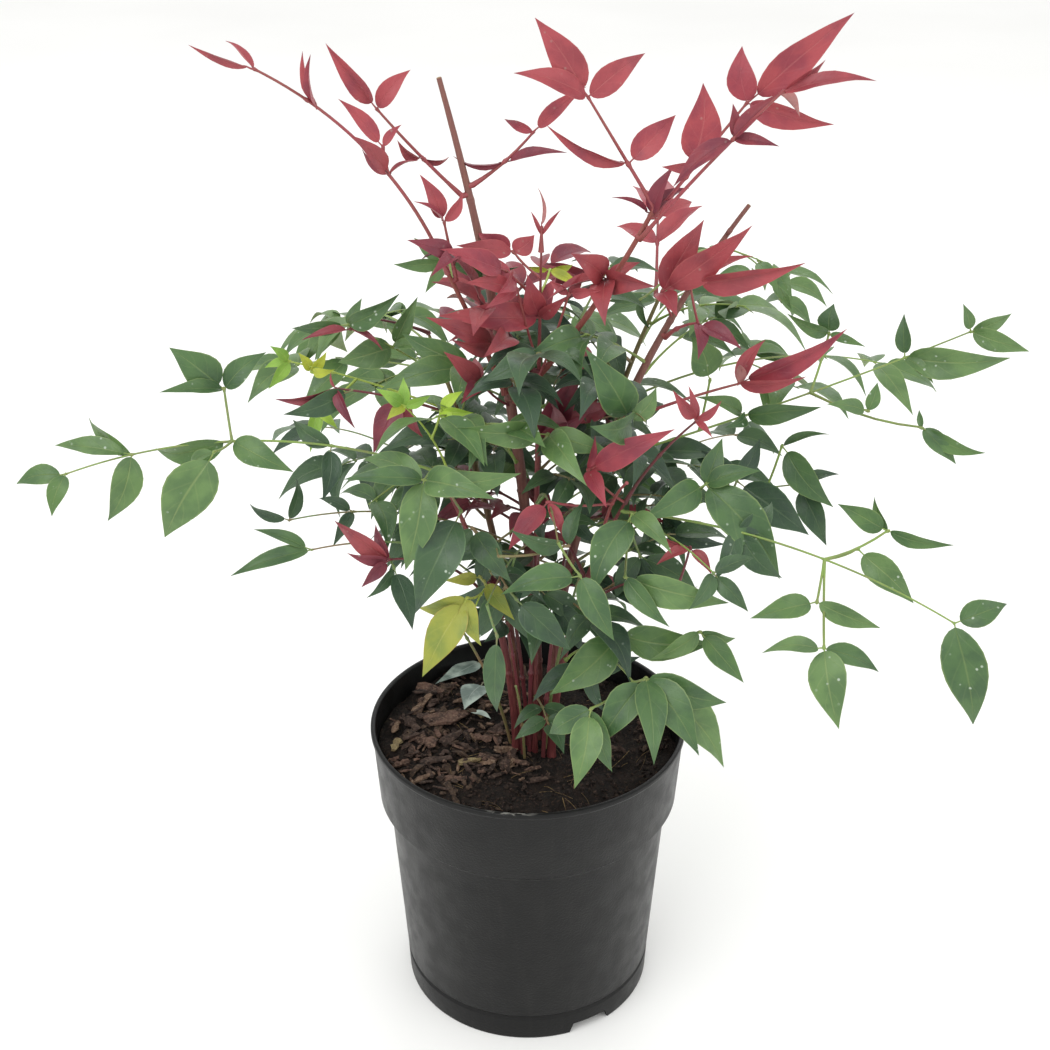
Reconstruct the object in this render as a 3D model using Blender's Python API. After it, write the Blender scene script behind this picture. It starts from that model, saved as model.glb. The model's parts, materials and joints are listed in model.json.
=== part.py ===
"""A heavenly bamboo shrub in a round nursery pot.

Eight canes stand in the compost and two boughs leave the tallest one. Each mass of foliage is one
compound leaf: a stem with swollen joints, pairs of side arms, and leaflets in threes at every end.
Metres, +Z up, with the origin at the centre of the pot's flat underside. The front faces -Y.
"""

import math
import random

import bmesh
import bpy
from mathutils import Matrix, Vector
from mathutils.bvhtree import BVHTree

# Pot: a 19 cm container, 18.5 cm tall, with a wide collar and a stepped foot.
POT_HEIGHT = 0.185
POT_RIM_RADIUS = 0.095
POT_RIM_DEPTH = 0.004
POT_COLLAR_TOP_RADIUS = 0.0938
POT_COLLAR_LOW_RADIUS = 0.0908
POT_COLLAR_LOW_Z = 0.137
POT_WALL_TOP_RADIUS = 0.0850
POT_WALL_TOP_Z = 0.131
POT_WALL_LOW_RADIUS = 0.0772
POT_STEP_Z = 0.0150
POT_FOOT_RADIUS = 0.0768
POT_WALL = 0.0018
POT_SIDES = 32
FLOOR_THICKNESS = 0.0024
MIDDLE_RADIUS = 0.050
CHANNEL_HEIGHT = 0.0075
CHANNEL_SLOPE = 0.002
FOOT_RING = 0.0026
DRAIN_HOLES = 6
DRAIN_HOLE_RADIUS = 0.0042
NOTCHES = 3
NOTCH_WIDTH = 0.028
NOTCH_HEADING = -60.0

# Compost: fills the pot to just under its rim, banked up on the left, level where the canes stand.
COMPOST_LEVEL = 0.168
COMPOST_BUMP = 0.0012
COMPOST_BANK = 0.0035
COMPOST_LEVEL_RADIUS = 0.030
COMPOST_RINGS = 4
GAP = 0.0003

# Canes: name, foot x and y, heading, climb at the foot, lean gained, length, radii at foot and tip.
CANES = [
    ("cane_tall", 0.006, 0.003, 180, 90, 14.5, 0.402, 0.0035, 0.0024),
    ("cane_right", 0.014, -0.002, 0, 92, 37, 0.355, 0.0029, 0.0020),
    ("cane_centre", 0.004, -0.010, 20, 90, 1, 0.312, 0.0019, 0.0011),
    ("cane_back_right", 0.013, 0.011, 32, 89, 30, 0.300, 0.0027, 0.0015),
    ("cane_back_left", -0.006, 0.012, 145, 89, 26, 0.255, 0.0027, 0.0015),
    ("cane_front_left", -0.007, -0.007, 214, 88, 24, 0.205, 0.0025, 0.0014),
    ("cane_front_right", 0.014, -0.014, 318, 88, 26, 0.195, 0.0025, 0.0014),
    ("cane_back", 0.004, 0.020, 85, 89, 20, 0.235, 0.0026, 0.0014),
]
CANE_SIDES = 6
FLAT_SIDED = 0.95
JOINT_SPACING = 0.0565
JOINT_SWELL = 1.16
JOINT_REACH = 0.004
ROOT_FLARE = 1.3
ROOT_FLARE_HEIGHT = 0.009

# Boughs: name, the cane and the share of it where they leave, heading, climb, lean gained,
# length, radii at foot and tip.
BOUGHS = [
    ("bough_right", "cane_tall", 0.562, 335, 50, -14, 0.137, 0.0019, 0.0012),
    ("bough_left", "cane_tall", 0.580, 220, 66, 4, 0.082, 0.0016, 0.0011),
]

# Leaf styles: width, rise of the edges over the midrib and bulge, for a leaflet's length; how far
# pairs spread from their stem and hang below its line; how far blades turn to the front and how
# loosely, in degrees; and the colour.
STYLES = {
    "green": dict(width=0.52, fold=0.035, bulge=0.075, spread=60, hang=32, facing=14, loose=16,
                  colour="#4B7040"),
    "deep": dict(width=0.50, fold=0.040, bulge=0.080, spread=62, hang=34, facing=14, loose=18,
                 colour="#35533A"),
    "lime": dict(width=0.48, fold=0.040, bulge=0.060, spread=54, hang=24, facing=14, loose=16,
                 colour="#9DB13B"),
    "red": dict(width=0.44, fold=0.055, bulge=0.045, spread=44, hang=2, facing=42, loose=24,
                colour="#A5404A"),
    "wine": dict(width=0.44, fold=0.055, bulge=0.060, spread=52, hang=14, facing=30, loose=24,
                 colour="#7E2E3B"),
}

# Compound leaves: name, limb and the share of it where they leave, heading, climb, lean gained,
# length, then the joints as (share of the stem, length of its two arms), leaflet length, style.
FRONDS = [
    ("red_shoot_left", "bough_left", 1.0, 200, 70, 40, 0.144, ((0.46, 0.012), (0.80, 0)), 0.036, "red"),
    ("red_sprig_left", "bough_left", 0.93, 234, 75, 0, 0.033, (), 0.027, "red"),
    ("red_top_left", "cane_tall", 0.85, 198, 45, -6, 0.064, ((0.45, 0),), 0.040, "red"),
    ("red_top_mid", "cane_tall", 0.86, 355, 33, -18, 0.042, ((0.50, 0),), 0.032, "red"),
    ("red_crown_left", "bough_right", 1.0, 179, 58, 0, 0.064, ((0.40, 0),), 0.044, "red"),
    ("red_crown_mid", "bough_right", 0.97, 357, 53, 0, 0.071, ((0.36, 0),), 0.052, "red"),
    ("red_crown_right", "bough_right", 0.88, 332, 48, 6, 0.110, ((0.68, 0),), 0.038, "red"),
    ("red_bud", "cane_centre", 1.0, 80, 86, 0, 0.013, (), 0.018, "red"),
    ("red_centre_left", "cane_centre", 0.92, 211, 45, 0, 0.026, (), 0.034, "red"),
    ("red_centre_low", "cane_centre", 0.79, 199, 60, 10, 0.051, ((0.50, 0),), 0.040, "wine"),
    ("red_centre_right", "cane_centre", 0.90, 342, 34, 6, 0.038, ((0.45, 0),), 0.038, "wine"),
    ("red_mid_right", "cane_right", 0.77, 330, 52, 40, 0.022, ((0.40, 0),), 0.062, "red"),
    ("red_side_right", "cane_right", 0.62, 345, 29, 8, 0.069, (), 0.050, "red"),
    ("red_young_front", "cane_front_right", 1.0, 346, 65, 20, 0.062, ((0.55, 0),), 0.030, "wine"),
    ("red_inner_front", "cane_front_right", 0.86, 283, 66, 30, 0.069, ((0.50, 0),), 0.040, "red"),
    ("red_low_front", "cane_front_right", 0.55, 320, 60, 50, 0.083, ((0.65, 0),), 0.032, "wine"),
    ("red_low_left", "cane_front_left", 0.56, 214, 60, 50, 0.077, ((0.62, 0),), 0.036, "wine"),
    ("red_side_left", "cane_tall", 0.50, 199, 37, 24, 0.106, ((0.66, 0),), 0.036, "wine"),
    ("red_high_left", "cane_back_left", 1.0, 224, 30, 10, 0.044, ((0.45, 0),), 0.034, "wine"),
    ("green_long_left", "cane_front_left", 1.0, 189, 26, 44, 0.197, ((0.30, 0), (0.56, 0.022), (0.82, 0)),
     0.044, "green"),
    ("green_high_right", "cane_right", 0.55, 1, 18, -6, 0.205, ((0.56, 0.046), (0.82, 0.012)), 0.035,
     "green"),
    ("green_low_right", "cane_front_right", 0.97, 339, 5, 30, 0.181, ((0.34, 0.030), (0.60, 0.044)),
     0.042, "green"),
    ("green_trio_left", "cane_back_left", 0.90, 210, 42, 10, 0.071, ((0.55, 0),), 0.034, "green"),
    ("lime_left", "cane_back_left", 0.82, 183, 25, 10, 0.096, ((0.74, 0.012),), 0.024, "lime"),
    ("lime_front", "cane_front_left", 0.92, 221, 73, 30, 0.070, ((0.58, 0.012),), 0.027, "lime"),
    ("green_low_left", "cane_front_left", 0.70, 205, 33, 34, 0.097, ((0.58, 0.020),), 0.044, "deep"),
    ("green_front_left", "cane_front_left", 0.95, 260, 60, 60, 0.066, ((0.50, 0.020),), 0.048, "green"),
    ("green_front_mid", "cane_front_left", 0.62, 275, 66, 60, 0.105, ((0.45, 0.024), (0.72, 0)), 0.044,
     "deep"),
    ("lime_front_low", "cane_front_left", 0.45, 262, 70, 70, 0.116, ((0.70, 0),), 0.044, "lime"),
    ("deep_right", "cane_right", 0.36, 5, 36, 34, 0.135, ((0.40, 0.034), (0.70, 0.022)), 0.044, "deep"),
    ("green_over_pot", "cane_front_right", 0.38, 293, 52, 76, 0.126, ((0.46, 0.030), (0.76, 0.020)),
     0.042, "green"),
    ("deep_front_high", "cane_centre", 0.54, 276, 46, 62, 0.100, ((0.42, 0.032), (0.74, 0.016)), 0.044,
     "deep"),
    ("green_front_right", "cane_right", 0.42, 305, 42, 60, 0.118, ((0.40, 0.034), (0.72, 0.020)), 0.044,
     "green"),
    ("deep_front_left", "cane_centre", 0.46, 238, 37, 40, 0.098, ((0.44, 0.032), (0.74, 0.018)), 0.042,
     "deep"),
    ("deep_left", "cane_tall", 0.33, 190, 35, 44, 0.137, ((0.44, 0.032), (0.74, 0.018)), 0.042, "deep"),
    ("green_long_back", "cane_back", 1.0, 85, 12, 60, 0.161, ((0.40, 0.034), (0.72, 0.018)), 0.043,
     "green"),
    ("green_back_left", "cane_back_left", 0.97, 121, 10, 50, 0.157, ((0.40, 0.032), (0.72, 0.016)),
     0.042, "green"),
    ("green_back_right", "cane_back_right", 1.0, 57, 0, 50, 0.170, ((0.40, 0.034), (0.72, 0.016)),
     0.043, "green"),
    ("deep_back_left", "cane_back_left", 0.56, 134, 22, 40, 0.165, ((0.46, 0.034),), 0.043, "deep"),
    ("deep_back_right", "cane_back_right", 0.46, 48, 22, 40, 0.161, ((0.46, 0.034),), 0.043, "deep"),
    ("deep_back", "cane_back", 0.62, 104, 20, 46, 0.158, ((0.46, 0.032),), 0.043, "deep"),
    ("green_side_right", "cane_back_right", 0.72, 16, 22, 40, 0.166, ((0.46, 0.034), (0.76, 0)), 0.042,
     "green"),
    ("green_side_left", "cane_back", 0.84, 162, 26, 44, 0.160, ((0.46, 0.032), (0.76, 0)), 0.042,
     "green"),
    ("red_back_right", "cane_back_right", 0.93, 86, 52, 30, 0.060, ((0.55, 0),), 0.040, "red"),
    ("red_back_top", "cane_back", 0.92, 150, 60, 20, 0.062, ((0.55, 0),), 0.038, "wine"),
    ("green_mid_left", "cane_tall", 0.47, 236, 62, 50, 0.092, ((0.48, 0.030), (0.76, 0)), 0.042, "green"),
    ("green_mid_right", "cane_right", 0.58, 282, 60, 56, 0.082, ((0.46, 0.028), (0.76, 0)), 0.042,
     "deep"),
    ("deep_pot_front", "cane_centre", 0.13, 280, 26, 30, 0.040, ((0.55, 0),), 0.024, "deep"),
]

# Rule for the twigs and leaflets.
STEM_RADIUS = 0.0012
STEM_TIP_RADIUS = 0.0007
ARM_RADIUS = 0.0008
ARM_TIP_RADIUS = 0.0006
TWIG_SIDES = 3
TWIG_STEP = 0.045
KNOT_SWELL = 1.8
KNOT_DEPTH = 0.0012
PAIR_BELOW_END = 0.005
ARM_CLIMB = 0.60
ARM_DROOP = 14.0
ARM_SHRINK = 0.92
SHORTEST_ARM = 0.008
MIDWAY_ARM = 0.030
MIDWAY_SHARE = 0.55
END_LEAF = 1.12
SIDE_LEAF = 0.92
LEAF_WIDEST = 0.38
LEAF_THICKNESS = 0.0009
LEAF_SINK = 0.0006
STEM_FREE = 0.004
ARM_FREE = 0.2
LEAF_FREE = 0.26
HANG_AT_END = 0.55
SIDE_CLIMB = 0.65
ROOM = 0.0006
STEM_TRIES = 14
ARM_TRIES = 8
LEAF_TRIES = 8
LEAF_FACES = [(0, 3, 4), (3, 1, 4), (1, 2, 4), (2, 0, 4), (3, 0, 5), (1, 3, 5), (2, 1, 5), (0, 2, 5)]


def hex_colour(code):
    """Linear RGBA of an sRGB hex code."""
    parts = [int(code[i : i + 2], 16) / 255 for i in (1, 3, 5)]
    linear = [p / 12.92 if p <= 0.04045 else ((p + 0.055) / 1.055) ** 2.4 for p in parts]
    return (*linear, 1.0)


def make_material(name, code, roughness):
    material = bpy.data.materials.new(name)
    material.use_nodes = True
    shader = material.node_tree.nodes["Principled BSDF"]
    shader.inputs["Base Color"].default_value = hex_colour(code)
    shader.inputs["Roughness"].default_value = roughness
    shader.inputs["Metallic"].default_value = 0.0
    material.diffuse_color = hex_colour(code)
    return material


def mesh_object(name, points, faces, material=None):
    mesh = bpy.data.meshes.new(name)
    mesh.from_pydata([tuple(p) for p in points], [], faces)
    thing = bpy.data.objects.new(name, mesh)
    bpy.context.scene.collection.objects.link(thing)
    if material:
        mesh.materials.append(material)
    return thing


def smooth(thing, angle=35.0):
    thing.data.shade_smooth()
    thing.data.set_sharp_from_angle(angle=math.radians(angle))


def direction(heading, climb):
    """Unit vector for a heading, 0 along +X and 90 along +Y, and a climb, both in degrees."""
    turn, rise = math.radians(heading), math.radians(climb)
    return Vector((math.cos(turn) * math.cos(rise), math.sin(turn) * math.cos(rise), math.sin(rise)))


class Stem:
    """A tapering limb on an arc: its climb falls evenly by lean degrees from foot to tip."""

    def __init__(self, foot, heading, climb, lean, length, radii, joints=(), swell=JOINT_SWELL,
                 reach=0.0, step=0.0, flare=1.0, tip_swell=1.0):
        self.foot = Vector(foot)
        self.heading = heading
        self.climb = climb
        self.lean = lean
        self.length = length
        self.stands = flare > 1.0
        rings = {}
        for share in joints:
            if reach:
                rings[share - reach / length] = 1.0
                rings[share + reach / length] = 1.0
            rings[share] = swell
        stops = [0.0, *joints, 1.0]
        for low, high in zip(stops, stops[1:]):
            count = max(1, round((high - low) * length / step)) if step else 1
            for i in range(1, count):
                rings[low + (high - low) * i / count] = 1.0
        if flare > 1.0:
            rings[ROOT_FLARE_HEIGHT / length] = 1.0
        rings[0.0] = flare
        rings[1.0] = tip_swell
        wide, narrow = radii
        self.rings = [(share, (wide + (narrow - wide) * share) * rings[share])
                      for share in sorted(rings)]

    def climb_at(self, share):
        return self.climb - self.lean * share

    def axis(self, share):
        return direction(self.heading, self.climb_at(share))

    def point(self, share):
        """The arc in closed form, or a straight line where it hardly leans."""
        if abs(self.lean) < 0.1:
            return self.foot + self.axis(0.5) * (self.length * share)
        start, now = math.radians(self.climb), math.radians(self.climb_at(share))
        turn = math.radians(self.lean)
        out = (math.sin(start) - math.sin(now)) / turn * self.length
        rise = (math.cos(now) - math.cos(start)) / turn * self.length
        return self.foot + direction(self.heading, 0) * out + Vector((0, 0, rise))

    def between_rings(self, share):
        """The middle and the radius of the tube between its two nearest rings."""
        for (low, low_radius), (high, high_radius) in zip(self.rings, self.rings[1:]):
            if share <= high:
                blend = (share - low) / (high - low)
                middle = self.point(low).lerp(self.point(high), blend)
                return middle, low_radius + (high_radius - low_radius) * blend
        return self.point(1.0), self.rings[-1][1]

    def shape(self, sides, room=0.0, start=0.0):
        """Points and faces of the closed tube, grown by room and cut off below start."""
        shares = [start] + [share for share, _ in self.rings if share > start + 0.01]
        side = direction(self.heading + 90, 0)
        points = []
        for share in shares:
            middle, radius = self.between_rings(share)
            lift = self.axis(share).cross(side)
            for k in range(sides):
                turn = 2 * math.pi * k / sides
                spoke = side * math.cos(turn) + lift * math.sin(turn)
                points.append(middle + spoke * (radius + room))
        if self.stands:
            for point in points[:sides]:
                point.z = self.foot.z
        faces = [tuple(reversed(range(sides)))]
        for i in range(len(shares) - 1):
            for k in range(sides):
                here, there = i * sides + k, i * sides + (k + 1) % sides
                faces.append((here, there, there + sides, here + sides))
        last = (len(shares) - 1) * sides
        faces.append(tuple(range(last, last + sides)))
        return points, faces

    def socket(self, share, heading, climb, radius):
        """Where a stem of this heading, climb and radius starts, a gap clear of this one."""
        centre, reach = self.between_rings(share)
        along, aim = self.axis(share), direction(heading, climb)
        if share >= 1.0:
            away, reach = along, 0.0
        else:
            away = (aim - along * aim.dot(along)).normalized()
            reach *= FLAT_SIDED
        slant = math.sqrt(max(0.0, 1.0 - aim.dot(away) ** 2))
        return centre + away * (reach + GAP + radius * slant)


class Room:
    """The shapes placed so far, and whether a new one keeps clear of them."""

    def __init__(self):
        self.shapes = []

    @staticmethod
    def box(points):
        return [(min(p[i] for p in points), max(p[i] for p in points)) for i in range(3)]

    def is_clear(self, points, faces):
        box, tree = self.box(points), BVHTree.FromPolygons(points, faces)
        for other_box, other_tree in self.shapes:
            if all(low <= other[1] and high >= other[0] for (low, high), other in zip(box, other_box)):
                if tree.overlap(other_tree):
                    return False
        return True

    def add(self, points, faces):
        self.shapes.append((self.box(points), BVHTree.FromPolygons(points, faces)))


def leaf_shape(root, heading, climb, roll, length, style, room=0.0, start=0.0):
    """Six points of a leaflet: root, tip, two edges, and its upper and lower middle."""
    ahead = direction(heading, climb)
    turn = Matrix.Rotation(math.radians(roll), 3, ahead)
    side = turn @ direction(heading + 90, 0)
    lift = ahead.cross(side)
    middle = root + ahead * (LEAF_WIDEST * length) + lift * (style["bulge"] * length)
    edge = side * (style["width"] * length / 2 + room)
    rise = lift * (style["fold"] * length)
    thick = lift * (max(LEAF_THICKNESS, length / 60) / 2 + room)
    base = root + ahead * (start * length - LEAF_SINK)
    tip = root + ahead * (length + room)
    return [base, tip, middle + edge + rise, middle - edge + rise, middle + thick, middle - thick]


class Frond:
    """One compound leaf, grown so that it touches nothing already there."""

    def __init__(self, row, limbs, room):
        self.name, limb, share, heading, climb, lean, length, joints, leaf, style = row
        self.room = room
        self.rng = random.Random(self.name)
        self.style = STYLES[style]
        self.leaf = leaf
        self.twigs = []
        self.leaves = []
        stem = self.clear_stem(limbs[limb], share, heading, climb, lean, length, joints)
        self.twigs.append(stem)
        for place, arm in joints:
            for side in (-1, 1):
                if arm < SHORTEST_ARM:
                    self.add_leaf(stem, place, side, SIDE_LEAF)
                else:
                    self.add_arm(stem, place, side, arm)
        self.add_trio(stem, 1.0)
        for shape in self.shapes():
            room.add(*shape)

    def clear_stem(self, limb, share, heading, climb, lean, length, joints):
        """The stem at its own heading and climb, or nudged until nothing is in its way."""
        for attempt in range(STEM_TRIES):
            turned = heading + self.rng.uniform(-1.6, 1.6) * attempt
            risen = climb + self.rng.uniform(-1.2, 1.2) * attempt
            foot = limb.socket(share, turned, risen, STEM_RADIUS)
            stem = Stem(foot, turned, risen, lean, length, (STEM_RADIUS, STEM_TIP_RADIUS),
                        joints=[place for place, _ in joints], swell=KNOT_SWELL, step=TWIG_STEP,
                        tip_swell=KNOT_SWELL)
            if self.room.is_clear(*stem.shape(TWIG_SIDES, ROOM, STEM_FREE / length)):
                return stem
        print(f"{self.name}: no clear place for its stem")
        return stem

    def shapes(self):
        return [twig.shape(TWIG_SIDES) for twig in self.twigs] + self.leaves

    def fits(self, whole, free, parent=None):
        """Whole clear of other masses and limbs, and its free end of this one's own but its parent."""
        if not self.room.is_clear(*whole):
            return False
        own = Room()
        for twig in self.twigs:
            if twig is not parent:
                own.add(*twig.shape(TWIG_SIDES))
        for leaf in self.leaves:
            own.add(*leaf)
        return own.is_clear(*free)

    def add_arm(self, stem, place, side, arm):
        for attempt in range(ARM_TRIES):
            heading = stem.heading + side * self.style["spread"] + self.rng.uniform(-4, 4) * attempt
            climb = stem.climb_at(place) * ARM_CLIMB + self.rng.uniform(-4, 4) * (attempt + 1)
            twig = Stem(stem.between_rings(place)[0], heading, climb, ARM_DROOP, arm,
                        (ARM_RADIUS, ARM_TIP_RADIUS), step=TWIG_STEP, tip_swell=KNOT_SWELL)
            whole = twig.shape(TWIG_SIDES, ROOM)
            if self.fits(whole, twig.shape(TWIG_SIDES, ROOM, ARM_FREE), parent=stem):
                self.twigs.append(twig)
                if arm > MIDWAY_ARM:
                    self.add_leaf(twig, MIDWAY_SHARE, -1, ARM_SHRINK * SIDE_LEAF)
                    self.add_leaf(twig, MIDWAY_SHARE, 1, ARM_SHRINK * SIDE_LEAF)
                self.add_trio(twig, ARM_SHRINK)
                return

    def add_trio(self, twig, size):
        """A leaflet straight on at the twig's end, and a pair just below it."""
        below = max(0.0, 1.0 - PAIR_BELOW_END / twig.length)
        self.add_leaf(twig, 1.0, 0, size * END_LEAF)
        self.add_leaf(twig, below, -1, size * SIDE_LEAF)
        self.add_leaf(twig, below, 1, size * SIDE_LEAF)

    def add_leaf(self, twig, place, side, size):
        """A leaflet on the twig, on one side or straight on at its tip, where it has room."""
        tall = twig.climb_at(place)
        for attempt in range(LEAF_TRIES):
            loose = 1 + 0.5 * attempt
            heading = twig.heading + side * self.style["spread"] + self.rng.uniform(-7, 7) * loose
            if side:
                climb = tall * SIDE_CLIMB - self.style["hang"]
            else:
                climb = tall - self.style["hang"] * HANG_AT_END
            climb += self.rng.uniform(-8, 8) * loose
            facing = self.style["facing"] * math.cos(math.radians(heading))
            roll = facing + self.rng.uniform(-1, 1) * self.style["loose"] * loose
            length = self.leaf * size * self.rng.uniform(0.86, 1.10) * (1 - 0.03 * attempt)
            root, _ = twig.between_rings(min(place, 1.0 - KNOT_DEPTH / twig.length))
            pose = (root, heading, climb, roll, length, self.style)
            whole = leaf_shape(*pose, room=ROOM), LEAF_FACES
            free = leaf_shape(*pose, room=ROOM, start=LEAF_FREE), LEAF_FACES
            if self.fits(whole, free):
                self.leaves.append((leaf_shape(*pose), LEAF_FACES))
                return

    def build(self, material):
        first, *rest = self.shapes()
        body = mesh_object(self.name, *first, material)
        union(body, [mesh_object("piece", *shape) for shape in rest])


def union(body, others):
    """Join closed shapes to the body as one solid, and remove them."""
    group = bpy.data.collections.new("joining")
    bpy.context.scene.collection.children.link(group)
    for thing in others:
        group.objects.link(thing)
    modifier = body.modifiers.new("Join", "BOOLEAN")
    modifier.operation = "UNION"
    modifier.operand_type = "COLLECTION"
    modifier.collection = group
    evaluated = body.evaluated_get(bpy.context.evaluated_depsgraph_get())
    joined = bpy.data.meshes.new_from_object(evaluated)
    body.modifiers.clear()
    body.data = joined
    joined.name = body.name
    for thing in others:
        bpy.data.objects.remove(thing)
    bpy.data.collections.remove(group)


def lathe(name, profile, sides, material):
    """A closed solid turned from (radius, z) points that start and end on the axis."""
    points = [(0.0, 0.0, profile[0][1])]
    for radius, z in profile[1:-1]:
        for k in range(sides):
            turn = 2 * math.pi * k / sides
            points.append((radius * math.cos(turn), radius * math.sin(turn), z))
    points.append((0.0, 0.0, profile[-1][1]))
    faces = []
    rings = len(profile) - 2
    for k in range(sides):
        faces.append((0, 1 + (k + 1) % sides, 1 + k))
    for i in range(rings - 1):
        for k in range(sides):
            here, there = 1 + i * sides + k, 1 + i * sides + (k + 1) % sides
            faces.append((here, there, there + sides, here + sides))
    top = len(points) - 1
    for k in range(sides):
        here, there = 1 + (rings - 1) * sides + k, 1 + (rings - 1) * sides + (k + 1) % sides
        faces.append((here, there, top))
    return mesh_object(name, points, faces, material)


def pot_inside():
    """The inner wall and floor as (radius, z) points, from the rim down to the axis."""
    floor = CHANNEL_HEIGHT + FLOOR_THICKNESS
    return [
        (POT_COLLAR_TOP_RADIUS - POT_WALL, POT_HEIGHT - POT_RIM_DEPTH),
        (POT_COLLAR_LOW_RADIUS - POT_WALL, POT_COLLAR_LOW_Z),
        (POT_WALL_TOP_RADIUS - POT_WALL, POT_WALL_TOP_Z),
        (POT_WALL_LOW_RADIUS - POT_WALL, POT_STEP_Z),
        (POT_FOOT_RADIUS - POT_WALL, floor),
        (MIDDLE_RADIUS + CHANNEL_SLOPE, floor),
        (MIDDLE_RADIUS, FLOOR_THICKNESS),
        (0.0, FLOOR_THICKNESS),
    ]


def pot_cutter():
    """Notches in the foot and drain holes in the raised part of the floor."""
    tool = bmesh.new()
    for i in range(NOTCHES):
        turn = Matrix.Rotation(math.radians(NOTCH_HEADING + 360 / NOTCHES * i), 4, "Z")
        inner, outer = POT_FOOT_RADIUS - 2 * FOOT_RING, POT_RIM_RADIUS
        low, high = -CHANNEL_HEIGHT, CHANNEL_HEIGHT - GAP
        place = Matrix.Translation(((inner + outer) / 2, 0, (low + high) / 2))
        size = Matrix.Diagonal((outer - inner, NOTCH_WIDTH, high - low, 1))
        bmesh.ops.create_cube(tool, size=1.0, matrix=turn @ place @ size)
    for i in range(DRAIN_HOLES):
        turn = Matrix.Rotation(math.radians(NOTCH_HEADING + 30 + 360 / DRAIN_HOLES * i), 4, "Z")
        radius = (MIDDLE_RADIUS + CHANNEL_SLOPE + POT_FOOT_RADIUS) / 2
        place = Matrix.Translation((radius, 0, CHANNEL_HEIGHT + FLOOR_THICKNESS / 2))
        bmesh.ops.create_cone(tool, cap_ends=True, segments=8, radius1=DRAIN_HOLE_RADIUS,
                              radius2=DRAIN_HOLE_RADIUS, depth=3 * FLOOR_THICKNESS,
                              matrix=turn @ place)
    mesh = bpy.data.meshes.new("pot_cutter")
    tool.to_mesh(mesh)
    tool.free()
    cutter = bpy.data.objects.new("pot_cutter", mesh)
    bpy.context.scene.collection.objects.link(cutter)
    cutter.hide_render = True
    cutter.display_type = "WIRE"
    return cutter


def make_pot():
    step = POT_WALL_LOW_RADIUS - POT_FOOT_RADIUS
    outside = [
        (0.0, 0.0),
        (MIDDLE_RADIUS, 0.0),
        (MIDDLE_RADIUS + CHANNEL_SLOPE, CHANNEL_HEIGHT),
        (POT_FOOT_RADIUS - FOOT_RING, CHANNEL_HEIGHT),
        (POT_FOOT_RADIUS - FOOT_RING, 0.0),
        (POT_FOOT_RADIUS - step / 2, 0.0),
        (POT_FOOT_RADIUS, POT_STEP_Z - step),
        (POT_WALL_LOW_RADIUS, POT_STEP_Z),
        (POT_WALL_TOP_RADIUS, POT_WALL_TOP_Z),
        (POT_COLLAR_LOW_RADIUS, POT_COLLAR_LOW_Z),
        (POT_COLLAR_TOP_RADIUS, POT_HEIGHT - POT_RIM_DEPTH),
        (POT_RIM_RADIUS, POT_HEIGHT - POT_RIM_DEPTH * 0.7),
        (POT_RIM_RADIUS - POT_RIM_DEPTH * 0.1, POT_HEIGHT),
        (POT_COLLAR_TOP_RADIUS - POT_WALL + POT_RIM_DEPTH * 0.1, POT_HEIGHT),
    ]
    pot = lathe("pot", outside + pot_inside(), POT_SIDES,
                make_material("black_plastic", "#3A3A38", 0.45))
    modifier = pot.modifiers.new("Openings", "BOOLEAN")
    modifier.operation = "DIFFERENCE"
    modifier.object = pot_cutter()
    smooth(pot)


def compost_height(x, y):
    """The surface: level where the canes stand, uneven further out and higher on the left."""
    across = math.hypot(x, y)
    fade = min(1.0, max(0.0, (across - COMPOST_LEVEL_RADIUS) / COMPOST_LEVEL_RADIUS))
    ripple = math.sin(x * 190 + 1.0) * math.cos(y * 160 - 0.6) + 0.6 * math.sin(x * 90 - y * 230)
    bank = -x / POT_RIM_RADIUS
    return COMPOST_LEVEL - GAP + fade * (ripple * COMPOST_BUMP + bank * COMPOST_BANK)


def make_compost():
    floor = CHANNEL_HEIGHT + FLOOR_THICKNESS + GAP
    wall = [(radius - GAP, max(z, floor)) for radius, z in pot_inside()[1:5]]
    middle = [(MIDDLE_RADIUS + CHANNEL_SLOPE - GAP, floor), (MIDDLE_RADIUS - GAP, FLOOR_THICKNESS + GAP)]
    rim_radius, rim_z = pot_inside()[0]
    below_rim = (rim_z - COMPOST_LEVEL) / (rim_z - POT_COLLAR_LOW_Z)
    top_wall = rim_radius + (wall[0][0] - rim_radius) * below_rim - 3 * GAP
    profile = [(0.0, FLOOR_THICKNESS + GAP), *reversed(middle), *reversed(wall)]
    for i in range(COMPOST_RINGS):
        profile.append((top_wall * (1 - i / COMPOST_RINGS), COMPOST_LEVEL))
    profile.append((0.0, COMPOST_LEVEL))
    compost = lathe("compost", profile, POT_SIDES, make_material("compost", "#2A211E", 0.95))
    for point in compost.data.vertices:
        if point.co.z > COMPOST_LEVEL - GAP:
            point.co.z = compost_height(point.co.x, point.co.y)
    smooth(compost)


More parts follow.
